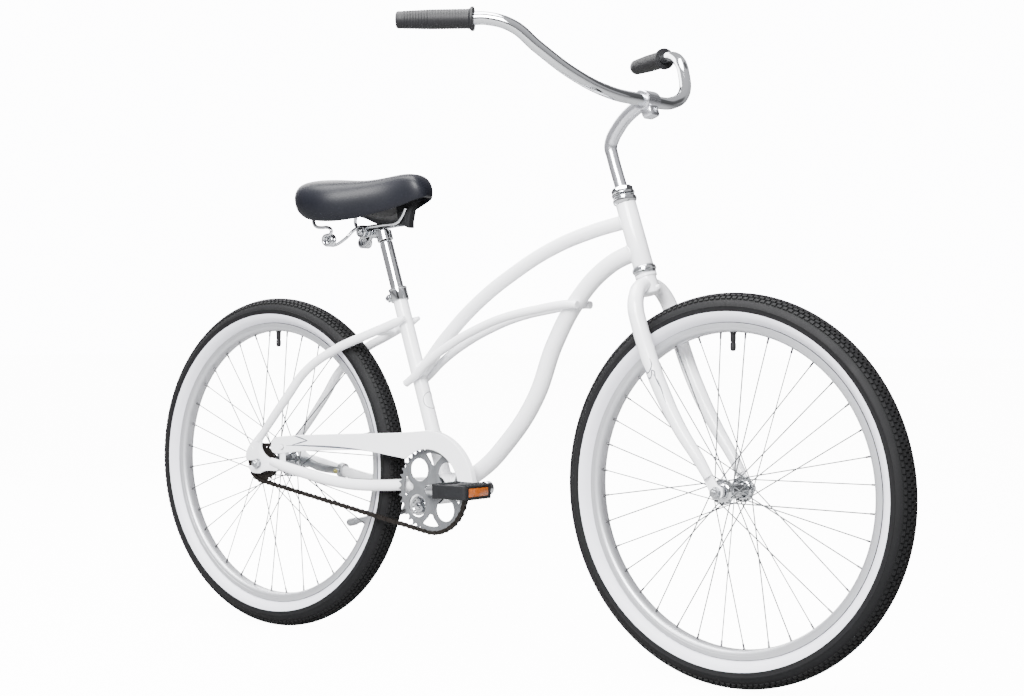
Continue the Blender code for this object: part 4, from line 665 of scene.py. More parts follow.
def bolt_head(place, turn, width, height, washer=0, hole=0):
    """A hexagon head or nut on local Z, chamfered, with a washer or the end of its bolt if it has one."""
    corner = width / sqrt(3)
    middle = (0, 0, height / 2)
    head = cylinder(corner, height, middle, 6)
    wide = {"radius1": corner * 1.35, "radius2": width * 0.47, "depth": height * 1.02}
    bpy.ops.mesh.primitive_cone_add(vertices=48, location=middle, **wide)
    chamfer = bpy.context.object
    bpy.ops.object.transform_apply()
    shape_with(head, "BOOLEAN", operation="INTERSECT", object=chamfer)
    bpy.data.objects.remove(chamfer)
    smooth(head, 25, 0.0002)
    parts = [head]
    if washer:
        parts.append(lathe(plain_wall(0, width * 0.66, -washer, 0), steps=32))
    if hole:
        tip = [(0, height), (hole, height), (hole, height + hole * 1.1), (hole * 0.8, height + hole * 1.3)]
        parts.append(lathe([*tip, (0, height + hole * 1.3)], steps=24))
    return set_down(join(parts), place, turn)


collar_outer = 0.0173
collar_low = seat_tube_length - 0.024
collar_profile = [
    (collar_outer, collar_low), (collar_outer, collar_low + 0.021),
    (collar_outer + 0.0008, collar_low + 0.022), (collar_outer + 0.0008, collar_low + 0.025),
    (seat_tube_radius + 0.0003, collar_low + 0.025), (seat_tube_radius + 0.0003, collar_low),
]
collar = lathe(collar_profile, steps=48, closed=True, bevel=0.0004)
ears = []
for side in (1, -1):
    ear_low = (-0.0267, side * 0.0042 - 0.002, collar_low + 0.004)
    ears.append(solid_block(ear_low, (-0.0155, side * 0.0042 + 0.002, collar_low + 0.02), 0.0018))
ear_centre = Vector((-0.0215, 0, collar_low + 0.012))
pinch_bolt = bolt_head(ear_centre + Vector((0, -0.0065, 0)), across, 0.01, 0.005, 0.001)
pinch_nut = bolt_head(ear_centre + Vector((0, 0.0065, 0)), (-pi / 2, 0, 0), 0.01, 0.005, 0.001, 0.0028)
seat_collar = set_down(join([collar, *ears, pinch_bolt, pinch_nut]), crank_axis, seat_turn)
fit_piece(seat_collar, chrome, "frame", "chrome", "seat_clamp")


# Headset: pressed steel cups at both ends of the head tube, with ball races, a crown race on the fork, and a
# knurled ring and lock nut on the steerer's thread above.
steerer_radius = 0.0127
cup_profile = [
    (steerer_radius + 0.0003, 0), (0.0158, 0), (0.0158, 0.0101), (0.018, 0.0101), (0.0205, 0.0125),
    (0.0214, 0.015), (0.0214, 0.0185), (0.0205, 0.0195), (0.0196, 0.0195), (0.0196, 0.0213),
    (0.0192, 0.0235), (0.018, 0.0249), (steerer_radius + 0.0003, 0.0249),
]
upper_cup = [(radius, head_high + 0.0003 - 0.01 + height) for radius, height in cup_profile]
lower_cup = [(radius, head_low - 0.0003 + 0.01 - height) for radius, height in cup_profile]
for name, profile in (("upper", upper_cup), ("lower", lower_cup)):
    cup = lathe(profile, steering_foot, steering_turn, 64, True)
    fit_piece(cup, chrome, "frame", "chrome", f"headset_cup_{name}")

locknut_low = head_high + 0.0159
locknut_ring = [
    (steerer_radius + 0.0003, locknut_low), (0.0203, locknut_low), (0.0205, locknut_low + 0.0006),
    (0.0205, locknut_low + 0.0036), (0.0198, locknut_low + 0.0042),
    (steerer_radius + 0.0003, locknut_low + 0.0042),
]
ring = lathe(locknut_ring, steering_foot, steering_turn, 48, True)
nut_body = bolt_head((0, 0, 0), (0, 0, 0), 0.0335, 0.0098)
cut_away(nut_body, cylinder(steerer_radius + 0.0002, 0.05))
smooth(nut_body, 25)
set_down(nut_body, on_head_tube(locknut_low + 0.005), steering_turn)
fit_piece(join([ring, nut_body]), chrome, "fork", "chrome", "headset_locknut")


# Fork: two tapered steel blades that curve together into one crown under the head tube, a steerer above it,
# and flat slotted tips that the axle is bolted in.
fork_spread = 0.057
crown_top = head_low - 0.0156
crown_profile = [
    (0, 0.3668), (0.0145, 0.3668), (0.0165, 0.3685), (0.017, 0.372), (0.017, crown_top - 0.006),
    (0.0193, crown_top - 0.0048), (0.0193, crown_top - 0.0006), (0.018, crown_top),
    (steerer_radius, crown_top), (steerer_radius, locknut_low + 0.0135), (0.0115, locknut_low + 0.0135),
    (0.0115, 0.43), (0, 0.43),
]
crown_body = lathe(crown_profile, steering_foot, steering_turn, 64)
crown_bolt = bolt_head((0.0168, 0, 0.3745), (0, pi / 2, 0), 0.0085, 0.0045, 0.0008)
set_down(crown_bolt, steering_foot, steering_turn)
fit_piece(join([crown_body, crown_bolt]), enamel, "fork", "white_paint", "fork_crown")

tab_middle = 0.0523
tip_outline = [
    *arc((fork_offset, 0), 0.0125, 62, -60, 10), *arc((fork_offset, 0), 0.0052, -90, -90, 1)[:1],
    *arc((fork_offset, 0), 0.0052, 0, 180, 12), *arc((fork_offset, 0), 0.0125, 240, 165, 8),
    (fork_offset - 0.021, 0.047), (fork_offset - 0.003, 0.047),
]
for name, side in SIDES:
    blade_points = [
        (fork_offset - 0.0065, side * (tab_middle + 0.001), 0.0285),
        (fork_offset - 0.015, side * (tab_middle + 0.0025), 0.062), (0.018, side * fork_spread, 0.121),
        (0.004, side * fork_spread, 0.19), (-0.003, side * fork_spread, 0.26),
        (-0.004, side * fork_spread, 0.322), (-0.0035, side * 0.965 * fork_spread, 0.342),
        (-0.002, side * 0.8 * fork_spread, 0.363), (-0.001, side * 0.5 * fork_spread, 0.3795),
        (0, side * 0.14 * fork_spread, 0.3845),
    ]
    shares = [0.62, 0.72, 0.84, 0.96, 1, 1, 1, 0.98, 0.93, 0.88]
    blade = bent_tube([Vector(p) for p in blade_points], 0.0143, shares, steps=8, roundness=6)
    tip = stamp(tip_outline, 0.004, (0, side * tab_middle, 0), across, plate_bevel)
    whole = set_down(join([blade, tip]), steering_foot, steering_turn)
    fit_piece(whole, enamel, "fork", "white_paint", f"fork_blade_{name}")


# Stem: a chromed quill that slides in the steerer, kinks forwards and ends in a split clamp for the bar, shut
# by one bolt from in front. The bend's outer corner is sharp and its limb is a little thicker than the quill.
stem_reach = 0.098
stem_top = 0.689
clamp_centre = steering_foot + stem_reach * steering_forward + stem_top * steering_up
stem_points = [
    (0, 0, 0.495), (0, 0, 0.56), (0, 0, 0.625), (0.0012, 0, 0.641), (0.0105, 0, 0.6545),
    (0.0235, 0, 0.6645), (0.0423, 0, 0.6755), (0.066, 0, 0.6838), (0.085, 0, 0.6872),
]
stem_shares = [1, 1, 1, 1.06, 1.14, 1.14, 1.13, 1.13, 1.13]
stem_limb = bent_tube([Vector(p) for p in stem_points], 0.0111, stem_shares, steps=8, roundness=7)
clamp_profile = [
    (0.0114, -0.02), (0.0114, 0.02), (0.0155, 0.02), (0.0172, 0.0185), (0.0175, 0.014), (0.0175, -0.014),
    (0.0172, -0.0185), (0.0155, -0.02),
]
clamp = lathe(clamp_profile, (stem_reach, 0, stem_top), across, 64, True)
lug = solid_block((-0.0115, -0.015, -0.0325), (0.0115, 0.015, -0.008), 0.0065)
set_down(lug, (stem_reach, 0, stem_top))
clamp_bolt = bolt_head((stem_reach + 0.0112, 0, stem_top - 0.0215), (0, pi / 2, 0), 0.009, 0.002, 0, 0.0026)
clamp_nut = bolt_head((stem_reach - 0.0112, 0, stem_top - 0.0215), (0, -pi / 2, 0), 0.009, 0.003)
stem = set_down(join([stem_limb, clamp, lug, clamp_bolt, clamp_nut]), steering_foot, steering_turn)
satin = new_finish(
    "satin chromium over forged steel",
    (0.17, 0.3),
    metallic=0.95,
    tones=("DCDDE3",),
    patches=(50, 3),
    grain=(0.004, 2, 0.04, 0.0004),
)
fit_piece(stem, satin, "stem", "chrome", "stem")


# Handlebar: one chromed steel tube, 22.2 mm thick, that rises in two sweeping bends from the stem and turns
# back to level ends. A moulded rubber grip with a collar is pushed on each end.
bar_radius = 0.0111
bar_end = Vector((-0.264, 0.3575, 0.12))
grip_length = 0.131
grip_way = Vector((-0.1119, 0.0675, 0.0005)).normalized()
grip_start = bar_end - grip_length * grip_way
half_bar = [
    Vector((0, 0.024, 0)),
    Vector((-0.012, 0.0965, 0.006)),
    Vector((-0.034, 0.1716, 0.0312)),
    Vector((-0.068, 0.2263, 0.0732)),
    Vector((-0.097, 0.2545, 0.1062)),
    grip_start - 0.022 * grip_way,
    grip_start + 0.01 * grip_way,
    grip_start + 0.06 * grip_way,
    bar_end - 0.005 * grip_way,
]
bar_route = [Vector((p.x, -p.y, p.z)) for p in reversed(half_bar)] + half_bar
bar = bent_tube([clamp_centre + p for p in bar_route], bar_radius, steps=10, roundness=7)
fit_piece(bar, chrome, "bar", "chrome", "handlebar")

grip_rubber = new_finish(
    "moulded black rubber",
    0.55,
    tones=("0D0D0F", "17171A"),
    patches=(60, 4),
    grain=(0.0008, 2, 0.25, 0.0003),
    specular=0.3,
)

grip_profile = [
    (0.0114, 0), (0.0195, 0), (0.0205, 0.001), (0.0205, 0.004), (0.0193, 0.0055), (0.017, 0.0075),
    (0.0165, 0.012),
]
rib_pitch = 0.0048
for k in range(22):
    height = 0.014 + k * rib_pitch
    swell = 0.0166 - 0.0021 * max(0, height - 0.07) / 0.06
    grip_profile += [(swell - 0.0004, height), (swell, height + 0.0012), (swell, height + 0.0032)]
    grip_profile += [(swell - 0.0004, height + 0.0044)]
grip_profile += [
    (0.0145, 0.1215), (0.0146, 0.1275), (0.0138, 0.1298), (0.012, 0.131), (0, 0.131), (0, 0.1273),
    (0.0114, 0.1273),
]
for name, side in SIDES:
    way = Vector((grip_way.x, side * grip_way.y, grip_way.z))
    start = clamp_centre + Vector((grip_start.x, side * grip_start.y, grip_start.z))
    grip = lathe(grip_profile, start, facing(way), 32, True)
    fit_piece(grip, grip_rubber, "bar", "soft_rubber", f"grip_{name}")


# Tyres: balloon tyres moulded in black rubber with a wide white band on each side wall and a tread of small
# blocks. One is modelled lying on its side and copied for both wheels.
wheel_steps = 128
section_radius = 0.027
tyre_middle = tyre_radius - section_radius
side_wall = [
    (0.2755, 0.0124), (0.2838, 0.0127), (0.2862, 0.0155), (0.2905, 0.0206), (0.2952, 0.024),
    (0.3018, 0.026), (0.3055, 0.0267), (0.309, 0.0266),
]
white_low = 0.2845
white_high = 0.3026
shoulder = [
    (0.3097, 0.027), (0.3106, 0.027), (0.311, 0.0262), (0.3145, 0.025), (0.3185, 0.0226), (0.3225, 0.0192),
    (0.3262, 0.0146), (0.3292, 0.0088), (0.3304, 0.004),
]
inner_wall = [(0.327, 0), (0.322, 0.013), (0.313, 0.0215), (0.302, 0.0222), (0.293, 0.0165), (0.2755, 0.0092)]


def both_sides(half):
    """A closed profile round the wheel's middle plane, from its points on one side."""
    return half + [(radius, -height) for radius, height in reversed(half) if height > 0]


def turn_round(piece, count):
    """Repeats what is modelled evenly round local Z."""
    pick(piece)
    bpy.ops.object.mode_set(mode="EDIT")
    bpy.ops.mesh.select_all(action="SELECT")
    share = (count - 1) / count
    bpy.ops.mesh.spin(steps=count - 1, dupli=True, angle=share * tau, center=(0, 0, 0), axis=(0, 0, 1))
    bpy.ops.object.mode_set(mode="OBJECT")
    return piece


tread_rubber = new_finish(
    "vulcanised black tyre rubber",
    (0.6, 0.8),
    tones=("070708", "0F0F11"),
    patches=(25, 5),
    grain=(0.0009, 2, 0.2, 0.0002),
    specular=0.22,
)

white_rubber = new_finish(
    "white side wall rubber",
    0.5,
    tones=("E4E4EC", "DADAE2"),
    patches=(18, 4),
    grain=(0.0009, 1, 0.12, 0.0002),
)

outer_wall = side_wall + shoulder
tyre_outline = both_sides(outer_wall)
tyre_outline += [(radius, -height) for radius, height in reversed(inner_wall)] + inner_wall[1:]
carcass = lathe(tyre_outline, steps=wheel_steps, closed=True)

block_depth = 0.0028
block_pitch = 0.0112
rows = [(0, 0, 0.006), (15, 0.5, 0.0058), (30, 0, 0.0058), (45.5, 0.5, 0.0062)]
pitches = round(tau * tyre_radius / block_pitch)
row_blocks = []
for turn, stagger, width in rows:
    for sign in (1, -1) if turn else (1,):
        bpy.ops.object.select_all(action="DESELECT")
        bpy.ops.mesh.primitive_cube_add(size=1)
        tread_block = bpy.context.object
        tread_block.scale = (block_depth, 0.82 * block_pitch * (1 if turn < 40 else 0.9), width)
        bpy.ops.object.transform_apply()
        bpy.ops.object.mode_set(mode="EDIT")
        select_verts(tread_block, lambda v: v.co.x > 0)
        bpy.ops.transform.resize(value=(1, 0.84, 0.8))
        bpy.ops.object.mode_set(mode="OBJECT")
        lean = sign * radians(turn)
        reach = section_radius - 0.5 * block_depth
        place = (tyre_middle + reach * cos(lean), 0, reach * sin(lean))
        set_down(tread_block, place, (0, -lean, 0))
        set_down(tread_block, (0, 0, 0), (0, 0, stagger * tau / pitches))
        row_blocks.append(tread_block)
tyre = join([carcass, turn_round(join(row_blocks), pitches)])
for end, axle in ENDS:
    one = copy_of(tyre)
    fit_piece(one, tread_rubber, f"{end}_wheel", "tyre_rubber", f"{end}_tyre")
    one.data.materials.append(white_rubber)
    for face in one.data.polygons:
        reach = sqrt(face.center.x**2 + face.center.y**2)
        outer = (face.normal.z > 0) == (face.center.z > 0)
        face.material_index = int(white_low < reach < white_high and outer and abs(face.center.z) > 0.0125)
    set_down(one, axle, across)
bpy.data.objects.remove(tyre)


# Rims: rolled and butted aluminium, brushed round their length and clear coated, with a floor for the nipples
# between two walls whose hooked edges hold the tyre.
rim_metal = new_finish(
    "brushed clear-coated aluminium",
    0.42,
    metallic=0.75,
    tones=("C6C7CB", "B9BABE"),
    patches=(9, 3),
    coat=(0.3, 0.2),
)
tree = rim_metal.node_tree
from_axle = add_node(tree, "Attribute", attribute_name="wheel_reach").outputs["Fac"]
brush_pitch = 0.0007
ridges = {"W": from_axle, "Scale": 1 / brush_pitch, "Detail": 2}
brushing = add_node(tree, "TexNoise", ridges, noise_dimensions="1D").outputs["Fac"]
set_range(tree, "Roughness", brushing, (0.34, 0.5))
raise_grain(tree, brushing, 0.08, 0.0002)

rim_half = [
    (0.2668, 0.005), (0.2672, 0.0078), (0.2688, 0.0112), (0.2712, 0.0134), (0.2741, 0.0146),
    (0.2756, 0.0147), (0.2759, 0.0151), (0.2811, 0.0155), (0.2826, 0.0154), (0.283, 0.0147),
    (0.2828, 0.0137), (0.2818, 0.0134), (0.2763, 0.0131), (0.2724, 0.0112), (0.2696, 0.007),
]
rim = lathe(both_sides(rim_half)[::-1], steps=wheel_steps, closed=True)
reach_of = rim.data.attributes.new("wheel_reach", "FLOAT", "POINT")
for vertex in rim.data.vertices:
    reach_of.data[vertex.index].value = sqrt(vertex.co.x**2 + vertex.co.y**2) + vertex.co.z
for end, axle in ENDS:
    one = set_down(copy_of(rim), axle, across)
    fit_piece(one, rim_metal, f"{end}_wheel", "aluminium", f"{end}_rim")
bpy.data.objects.remove(rim)


# Inner tubes: black butyl tubes inside the tyres, each with a straight valve that stands through the rim at
# the top of the wheel and wears a plastic cap.
valve_foot = 0.268
valve_profile = [
    (0, 0), (0.0065, 0.0008), (0.0055, 0.003), (0.0049, 0.005), (0.0047, 0.017), (0.004, 0.0182),
    (0.004, 0.0194), (0.005, 0.0198), (0.0051, 0.028), (0.0044, 0.0315), (0.0028, 0.0332), (0, 0.0335),
]
inner_tube_radius = 0.0185
tube_turns = [tau * k / 16 for k in range(16)]
tube_section = [
    (tyre_middle + inner_tube_radius * cos(turn), inner_tube_radius * sin(turn)) for turn in tube_turns
]
for end, axle in ENDS:
    ring = lathe(tube_section, steps=64, closed=True)
    valve = lathe(valve_profile, (0, valve_foot, 0), across, 24)
    stalk = lathe(plain_wall(0, 0.003, -0.024, 0.001), (0, valve_foot, 0), across, 12)
    one = set_down(join([ring, valve, stalk]), axle, across)
    fit_piece(one, grip_rubber, f"{end}_wheel", "soft_rubber", f"{end}_inner_tube")


# Hubs: turned steel shells, plated, with a drilled flange at each end that the spokes hang in. The rear one
# is the fat shell of a back-pedal brake.
plate_steel = new_finish(
    "zinc-plated turned steel", (0.22, 0.42), metallic=1, tones=("C3C5C8", "AEB0B3"), patches=(260, 3)
)

hub_bore = 0.0095
front_hub_half = [
    (hub_bore, 0.0392), (0.0118, 0.0392), (0.0126, 0.0384), (0.0128, 0.0358), (0.0142, 0.0346),
    (0.016, 0.0339), (0.0217, 0.0336), (0.0224, 0.0329), (0.0225, 0.0314), (0.0218, 0.0307),
    (0.0172, 0.0304), (0.015, 0.029), (0.0137, 0.0262), (0.0131, 0.02), (0.0128, 0.008),
]
rear_hub_half = [
    (hub_bore, 0.041), (0.0168, 0.041), (0.0178, 0.04), (0.0184, 0.0345), (0.02, 0.0318), (0.0225, 0.0308),
    (0.029, 0.0305), (0.0299, 0.0298), (0.03, 0.0282), (0.0292, 0.0275), (0.024, 0.0272), (0.0214, 0.0262),
    (0.0202, 0.024), (0.0198, 0.018), (0.0196, 0.006),
]
spoke_radius = 0.00117
flange_inset = 0.0032
wheels = [
    ("front", front_axle, front_hub_half, 0.0225, 0.032), ("rear", rear_axle, rear_hub_half, 0.03, 0.029),
]
for end, axle, half, flange_radius, flange_place in wheels:
    hub = lathe(both_sides(half), steps=64, closed=True)
    drill = turn_round(cylinder(0.0014, 0.012, (flange_radius - flange_inset, 0, 0), 10), 18)
    for sign in (1, -1):
        turn = radians(5 + 10 * (sign > 0))
        drills = set_down(copy_of(drill), (0, 0, sign * flange_place), (0, 0, turn))
        cut_away(hub, drills)
    bpy.data.objects.remove(drill)
    smooth(hub, 30)
    fit_piece(set_down(hub, axle, across), chrome, f"{end}_wheel", "chrome", f"{end}_hub")


# Spokes: 36 drawn steel wires in each wheel, each with a hook and a head at the hub, crossing three others on
# its way to a nickelled nipple in the rim. One of each kind is made and turned round the axle.
nipple_profile = [
    (0, -0.0105), (0.0014, -0.0105), (0.0017, -0.01), (0.0018, -0.002), (0.0024, 0), (0.0024, 0.0015),
    (0, 0.0015),
]
nickel = new_finish("nickel-plated brass", 0.4, metallic=0.9, tones=("68686A", "4C4C4E"), patches=(90, 2))

spoke_wire = new_finish(
    "galvanised spoke wire", 0.5, metallic=0.6, tones=("66686A", "525456"), patches=(160, 2)
)

rim_floor_radius = 0.2667
spokes_a_set = 9
for end, axle, half, flange_radius, flange_place in wheels:
    nipples = []
    for name, side in SIDES:
        wires = []
        face = -side
        hole_reach = flange_radius - flange_inset
        for sense, first in ((1, 5), (-1, 25)):
            at_rim = radians(first + 10 * (side < 0))
            at_hub = at_rim + sense * radians(60)
            hole = Vector((hole_reach * cos(at_hub), hole_reach * sin(at_hub), face * flange_place))
            outer = face * sense
            far = Vector((rim_floor_radius * cos(at_rim), rim_floor_radius * sin(at_rim), face * 0.0015))
            flat = far - hole
            flat.z = 0
            flat.normalize()
            leave = hole + Vector((0, 0, -outer * 0.0026)) + 0.0016 * flat
            straight = (far - leave).normalized()
            route = [
                hole + Vector((0, 0, outer * 0.0024)),
                hole + Vector((0, 0, outer * 0.0006)),
                leave,
                leave + 0.004 * straight,
                leave + 0.5 * (far - leave),
                far,
            ]
            wire = bent_tube(route, spoke_radius, steps=2, roundness=1)
            head = lathe([(0, -0.0004), (0.0021, -0.0004), (0.0018, 0.0006), (0, 0.001)], route[0], steps=10)
            if outer < 0:
                head.scale = (1, 1, -1)
                set_down(head, (0, 0, 2 * route[0].z))
                bpy.ops.object.mode_set(mode="EDIT")
                close_up(head)
            wires.append(turn_round(join([wire, head]), spokes_a_set))
            nipples.append(turn_round(lathe(nipple_profile, far, facing(straight), 10), spokes_a_set))
        spokes = set_down(join(wires), axle, across)
        fit_piece(spokes, spoke_wire, f"{end}_wheel", "steel", f"{end}_spokes_{name}")
    fit_piece(set_down(join(nipples), axle, across), nickel, f"{end}_wheel", "steel", name=f"{end}_nipples")


# Axles: threaded rods with their cones and lock nuts, held in the fork and in the frame by a hexagon nut and
# a washer at each end. They stand still while the hubs turn on them.
tab_thickness = 0.004
washer_thickness = 0.0012
nut_room = 0.009
thread_beyond = 0.004
for end, axle, half_width, hub_end, body in (
    ("front", front_axle, 0.05, 0.0392, "fork"),
    ("rear", rear_axle, 0.055, 0.041, "frame"),
):
    rod_end = half_width + tab_thickness + washer_thickness + nut_room + thread_beyond
    rod_half = [
        (0, rod_end), (0.004, rod_end), (0.0047, rod_end - 0.0008), (0.0047, half_width - 0.0003),
        (0.0078, half_width - 0.0003), (0.0078, half_width - 0.004), (0.0062, half_width - 0.0045),
        (0.0062, half_width - 0.006), (0.0089, hub_end + 0.001), (0.0089, hub_end - 0.002),
        (0.0047, hub_end - 0.014),
    ]
    rod = lathe(both_sides(rod_half), steps=32)
    nuts = []
    for sign in (1, -1):
        seat = sign * (half_width + tab_thickness + 0.0016)
        turn = (0 if sign > 0 else pi, 0, 0)
        nuts.append(bolt_head((0, 0, seat), turn, 0.015, 0.0088, washer_thickness))
    one = set_down(join([rod, *nuts]), axle, across)
    fit_piece(one, plate_steel, body, "steel", f"{end}_axle")


# Bottom bracket: two pressed steel cups in the ends of the frame's shell, each with a thin lip outside and a
# hardened race within for the crank's ball bearings.
def outward(profile, side):
    """A profile whose heights are measured outwards from the frame's middle, for a piece on this side."""
    return [(radius, -side * height) for radius, height in profile]


cup_out = shell_half + 0.0003
bracket_cup = [
    (0.016, cup_out - 0.012), (0.0235, cup_out - 0.012), (0.025, cup_out - 0.0105), (0.025, cup_out),
    (0.0275, cup_out), (0.0284, cup_out + 0.0008), (0.0279, cup_out + 0.003), (0.0205, cup_out + 0.003),
    (0.0178, cup_out + 0.0014), (0.016, cup_out + 0.001),
]
for name, side in SIDES:
    cup = lathe(outward(bracket_cup, side), crank_axis, across, 64, True)
    fit_piece(cup, chrome, "frame", "chrome", f"bb_cup_{name}")


# Crank: spindle and both arms forged as one steel bar, bent, chromed and threaded in through the shell. A
# cone and a lock nut are screwed on it at each end of the spindle, and the arms end in threaded eyes.
crank_lift = radians(5)
arm_way = Vector((cos(crank_lift), 0, sin(crank_lift)))
arm_length = 0.152
arm_offset = 0.07
arm_shape = [(0, 0.66), (0.004, 0.79), (0.014, 0.88), (0.03, 0.935), (0.062, 0.975), (0.11, 1), (0.1435, 1)]
half_arm = [out * arm_way + Vector((0, -share * arm_offset, 0)) for out, share in arm_shape]
arm_route = [crank_axis - p for p in reversed(half_arm)] + [crank_axis + p for p in half_arm]
arm_shares = [0.94, 0.98, 1, 1, 1, 1, 1]
arms = bent_tube(arm_route, 0, arm_shares + arm_shares[::-1], oval=(0.0065, 0.0105), steps=8, roundness=6)
spindle_shares = [0.62, 0.82, 0.97, 1]
spindle = bent_tube(arm_route[3:-3], 0.011, spindle_shares + spindle_shares[::-1], steps=8, roundness=7)
eye = [
    (0.0073, -0.0067), (0.012, -0.0067), (0.013, -0.0057), (0.013, 0.0057), (0.012, 0.0067),
    (0.0073, 0.0067),
]
arm_tips = {}
for name, side in SIDES:
    arm_tips[name] = crank_axis - side * arm_length * arm_way + side * arm_offset * sideways
eyes = [lathe(eye, tip, across, 40, True) for tip in arm_tips.values()]
right_cone = [
    (0.0108, 0.0243), (0.0135, 0.0243), (0.0155, 0.029), (0.0155, 0.0392), (0.015, 0.0405),
    (0.0108, 0.0405),
]
left_cone = [(0.0108, -0.0243), (0.0135, -0.0243), (0.0155, -0.029), (0.0155, -0.0345), (0.0108, -0.0345)]
cones = [lathe(profile, crank_axis, across, 48, True) for profile in (right_cone, left_cone)]
cone_nut = bolt_head(crank_axis + Vector((0, 0.0345, 0)), (-pi / 2, 0, 0), 0.0265, 0.0036)
crank_piece = join([arms, spindle, *eyes, *cones, cone_nut])
fit_piece(crank_piece, chrome, "crank", "chrome", "crank")


# Chainring: one plate stamped from steel and plated a dull grey, with forty teeth, four round windows and
# four three-cornered ones between them. The crank turns it.
ring_plate = new_finish(
    "dull grey plated steel plate",
    (0.4, 0.58),
    metallic=0.7,
    tones=("7E8083", "6C6E71"),
    patches=(55, 4),
    grain=(0.0016, 2, 0.1, 0.0002),
)

chain_pitch = 0.0127
chain_line = 0.043
ring_teeth = 40
cog_teeth = 18
ring_radius = chain_pitch / 2 / sin(pi / ring_teeth)
cog_radius = chain_pitch / 2 / sin(pi / cog_teeth)
centre_line = atan2(-bottom_bracket_drop, crank_reach)
sprocket_thickness = 0.003


def toothed(teeth, pitch_radius, first_gap):
    """A sprocket's outline: round seats for the rollers and a blunt tooth between each two."""
    outline = []
    step = tau / teeth
    for k in range(teeth):
        start = first_gap + k * step
        for share, rise in ((0, -0.0043), (0.17, -0.0038), (0.3, -0.0014), (0.41, 0.0016), (0.46, 0.0024)):
            outline.append((pitch_radius + rise, start + share * step))
        for share, rise in ((0.54, 0.0024), (0.59, 0.0016), (0.7, -0.0014), (0.83, -0.0038)):
            outline.append((pitch_radius + rise, start + share * step))
    return [(radius * cos(angle), radius * sin(angle)) for radius, angle in outline]


def cut_hole(plate, outline, depth=0.02):
    """Cuts a hole of this outline through a plate that lies in local XY."""
    cut_away(plate, stamp(outline, depth))


chainring = stamp(toothed(ring_teeth, ring_radius, centre_line), sprocket_thickness)
cut_hole(chainring, arc((0, 0), 0.0113, 0, 345, 23))
window_reach = 0.048
for k in range(4):
    turn = degrees(centre_line) + 45 + 90 * k
    place = (window_reach * cos(radians(turn)), window_reach * sin(radians(turn)))
    cut_hole(chainring, arc(place, 0.0215, 0, 350, 35))
    corners = [(0.0465, 0.0046), (0.0465, -0.0046), (0.052, -0.0068), (0.0655, -0.02)]
    corners += [(0.068, -0.011), (0.069, 0), (0.068, 0.011), (0.0655, 0.02), (0.052, 0.0068)]
    turn = centre_line + k * pi / 2
    corners = [(x * cos(turn) - y * sin(turn), x * sin(turn) + y * cos(turn)) for x, y in corners]
    cut_hole(chainring, mitre_round(corners[::-1], 0.0032, 3))
smooth(chainring, 30, 0.0003)
drive_pin = lathe([(0, -0.0015), (0.0042, -0.0015), (0.0042, 0.0042), (0.0036, 0.005), (0, 0.005)], steps=24)
pin_reach = 0.024
set_down(drive_pin, (pin_reach * cos(crank_lift), pin_reach * sin(crank_lift), 0))
chainring = set_down(join([chainring, drive_pin]), crank_axis - Vector((0, chain_line, 0)), across)
fit_piece(chainring, ring_plate, "crank", "aluminium", "chainring")


# Rear sprocket: eighteen teeth in hardened dark steel, on a raised ring that is splined to the brake hub.
# Three round holes lighten its plate.
dark_steel = new_finish(
    "oiled dark steel", (0.3, 0.6), metallic=0.8, tones=("35302D", "1B1918"), patches=(180, 4)
)

cog = stamp(toothed(cog_teeth, cog_radius, centre_line + pi), sprocket_thickness)
cut_hole(cog, arc((0, 0), 0.01, 0, 345, 23))
cog_hole_reach = 0.0195
for k in range(3):
    turn = radians(30 + 120 * k)
    cut_hole(cog, arc((cog_hole_reach * cos(turn), cog_hole_reach * sin(turn)), 0.0042, 0, 340, 17))
smooth(cog, 30, 0.0002)
cog_rim = [(0.01, -0.0014), (0.01, 0.0026), (0.013, 0.0026), (0.0138, 0.0018), (0.0138, -0.0014)]
cog = join([cog, lathe(cog_rim, steps=40, closed=True)])
set_down(cog, rear_axle - Vector((0, chain_line, 0)), across)
fit_piece(cog, dark_steel, "cog", "dark_steel", "rear_cog")


# Chain: a hundred half-inch links of oiled steel, narrow and wide by turns, each of two waisted plates held
# by pins with a roller between them. One link of each kind is made and copied round both sprockets.
plate_outline = [
    *arc((0, 0), 0.0043, 100, 260, 5), (chain_pitch / 2, -0.003),
    *arc((chain_pitch, 0), 0.0043, -80, 80, 5), (chain_pitch / 2, 0.003),
]
roller = plain_wall(0, 0.0037, -0.0018, 0.0018)
pin = plain_wall(0, 0.0018, -0.0045, 0.0045)


def link(plate_offset, pins):
    """One link from its first roller along local X."""
    parts = [stamp(plate_outline, 0.001, (0, 0, side * plate_offset)) for side in (1, -1)]
    for x in (0, chain_pitch):
        parts.append(lathe(pin if pins else roller, (x, 0, 0), steps=8))
    return join(parts)


links = [link(0.0038, True), link(0.0026, False)]


def round_sprocket(radius, centre, start, steps):
    """The places of the rollers that lie round a sprocket, on each side of the angle start."""
    last = int(steps / 4)
    step = tau / steps
    turns = [start + k * step for k in range(-last, last + 1)]
    return [Vector((centre.x + radius * cos(a), centre.y + radius * sin(a), 0)) for a in turns]


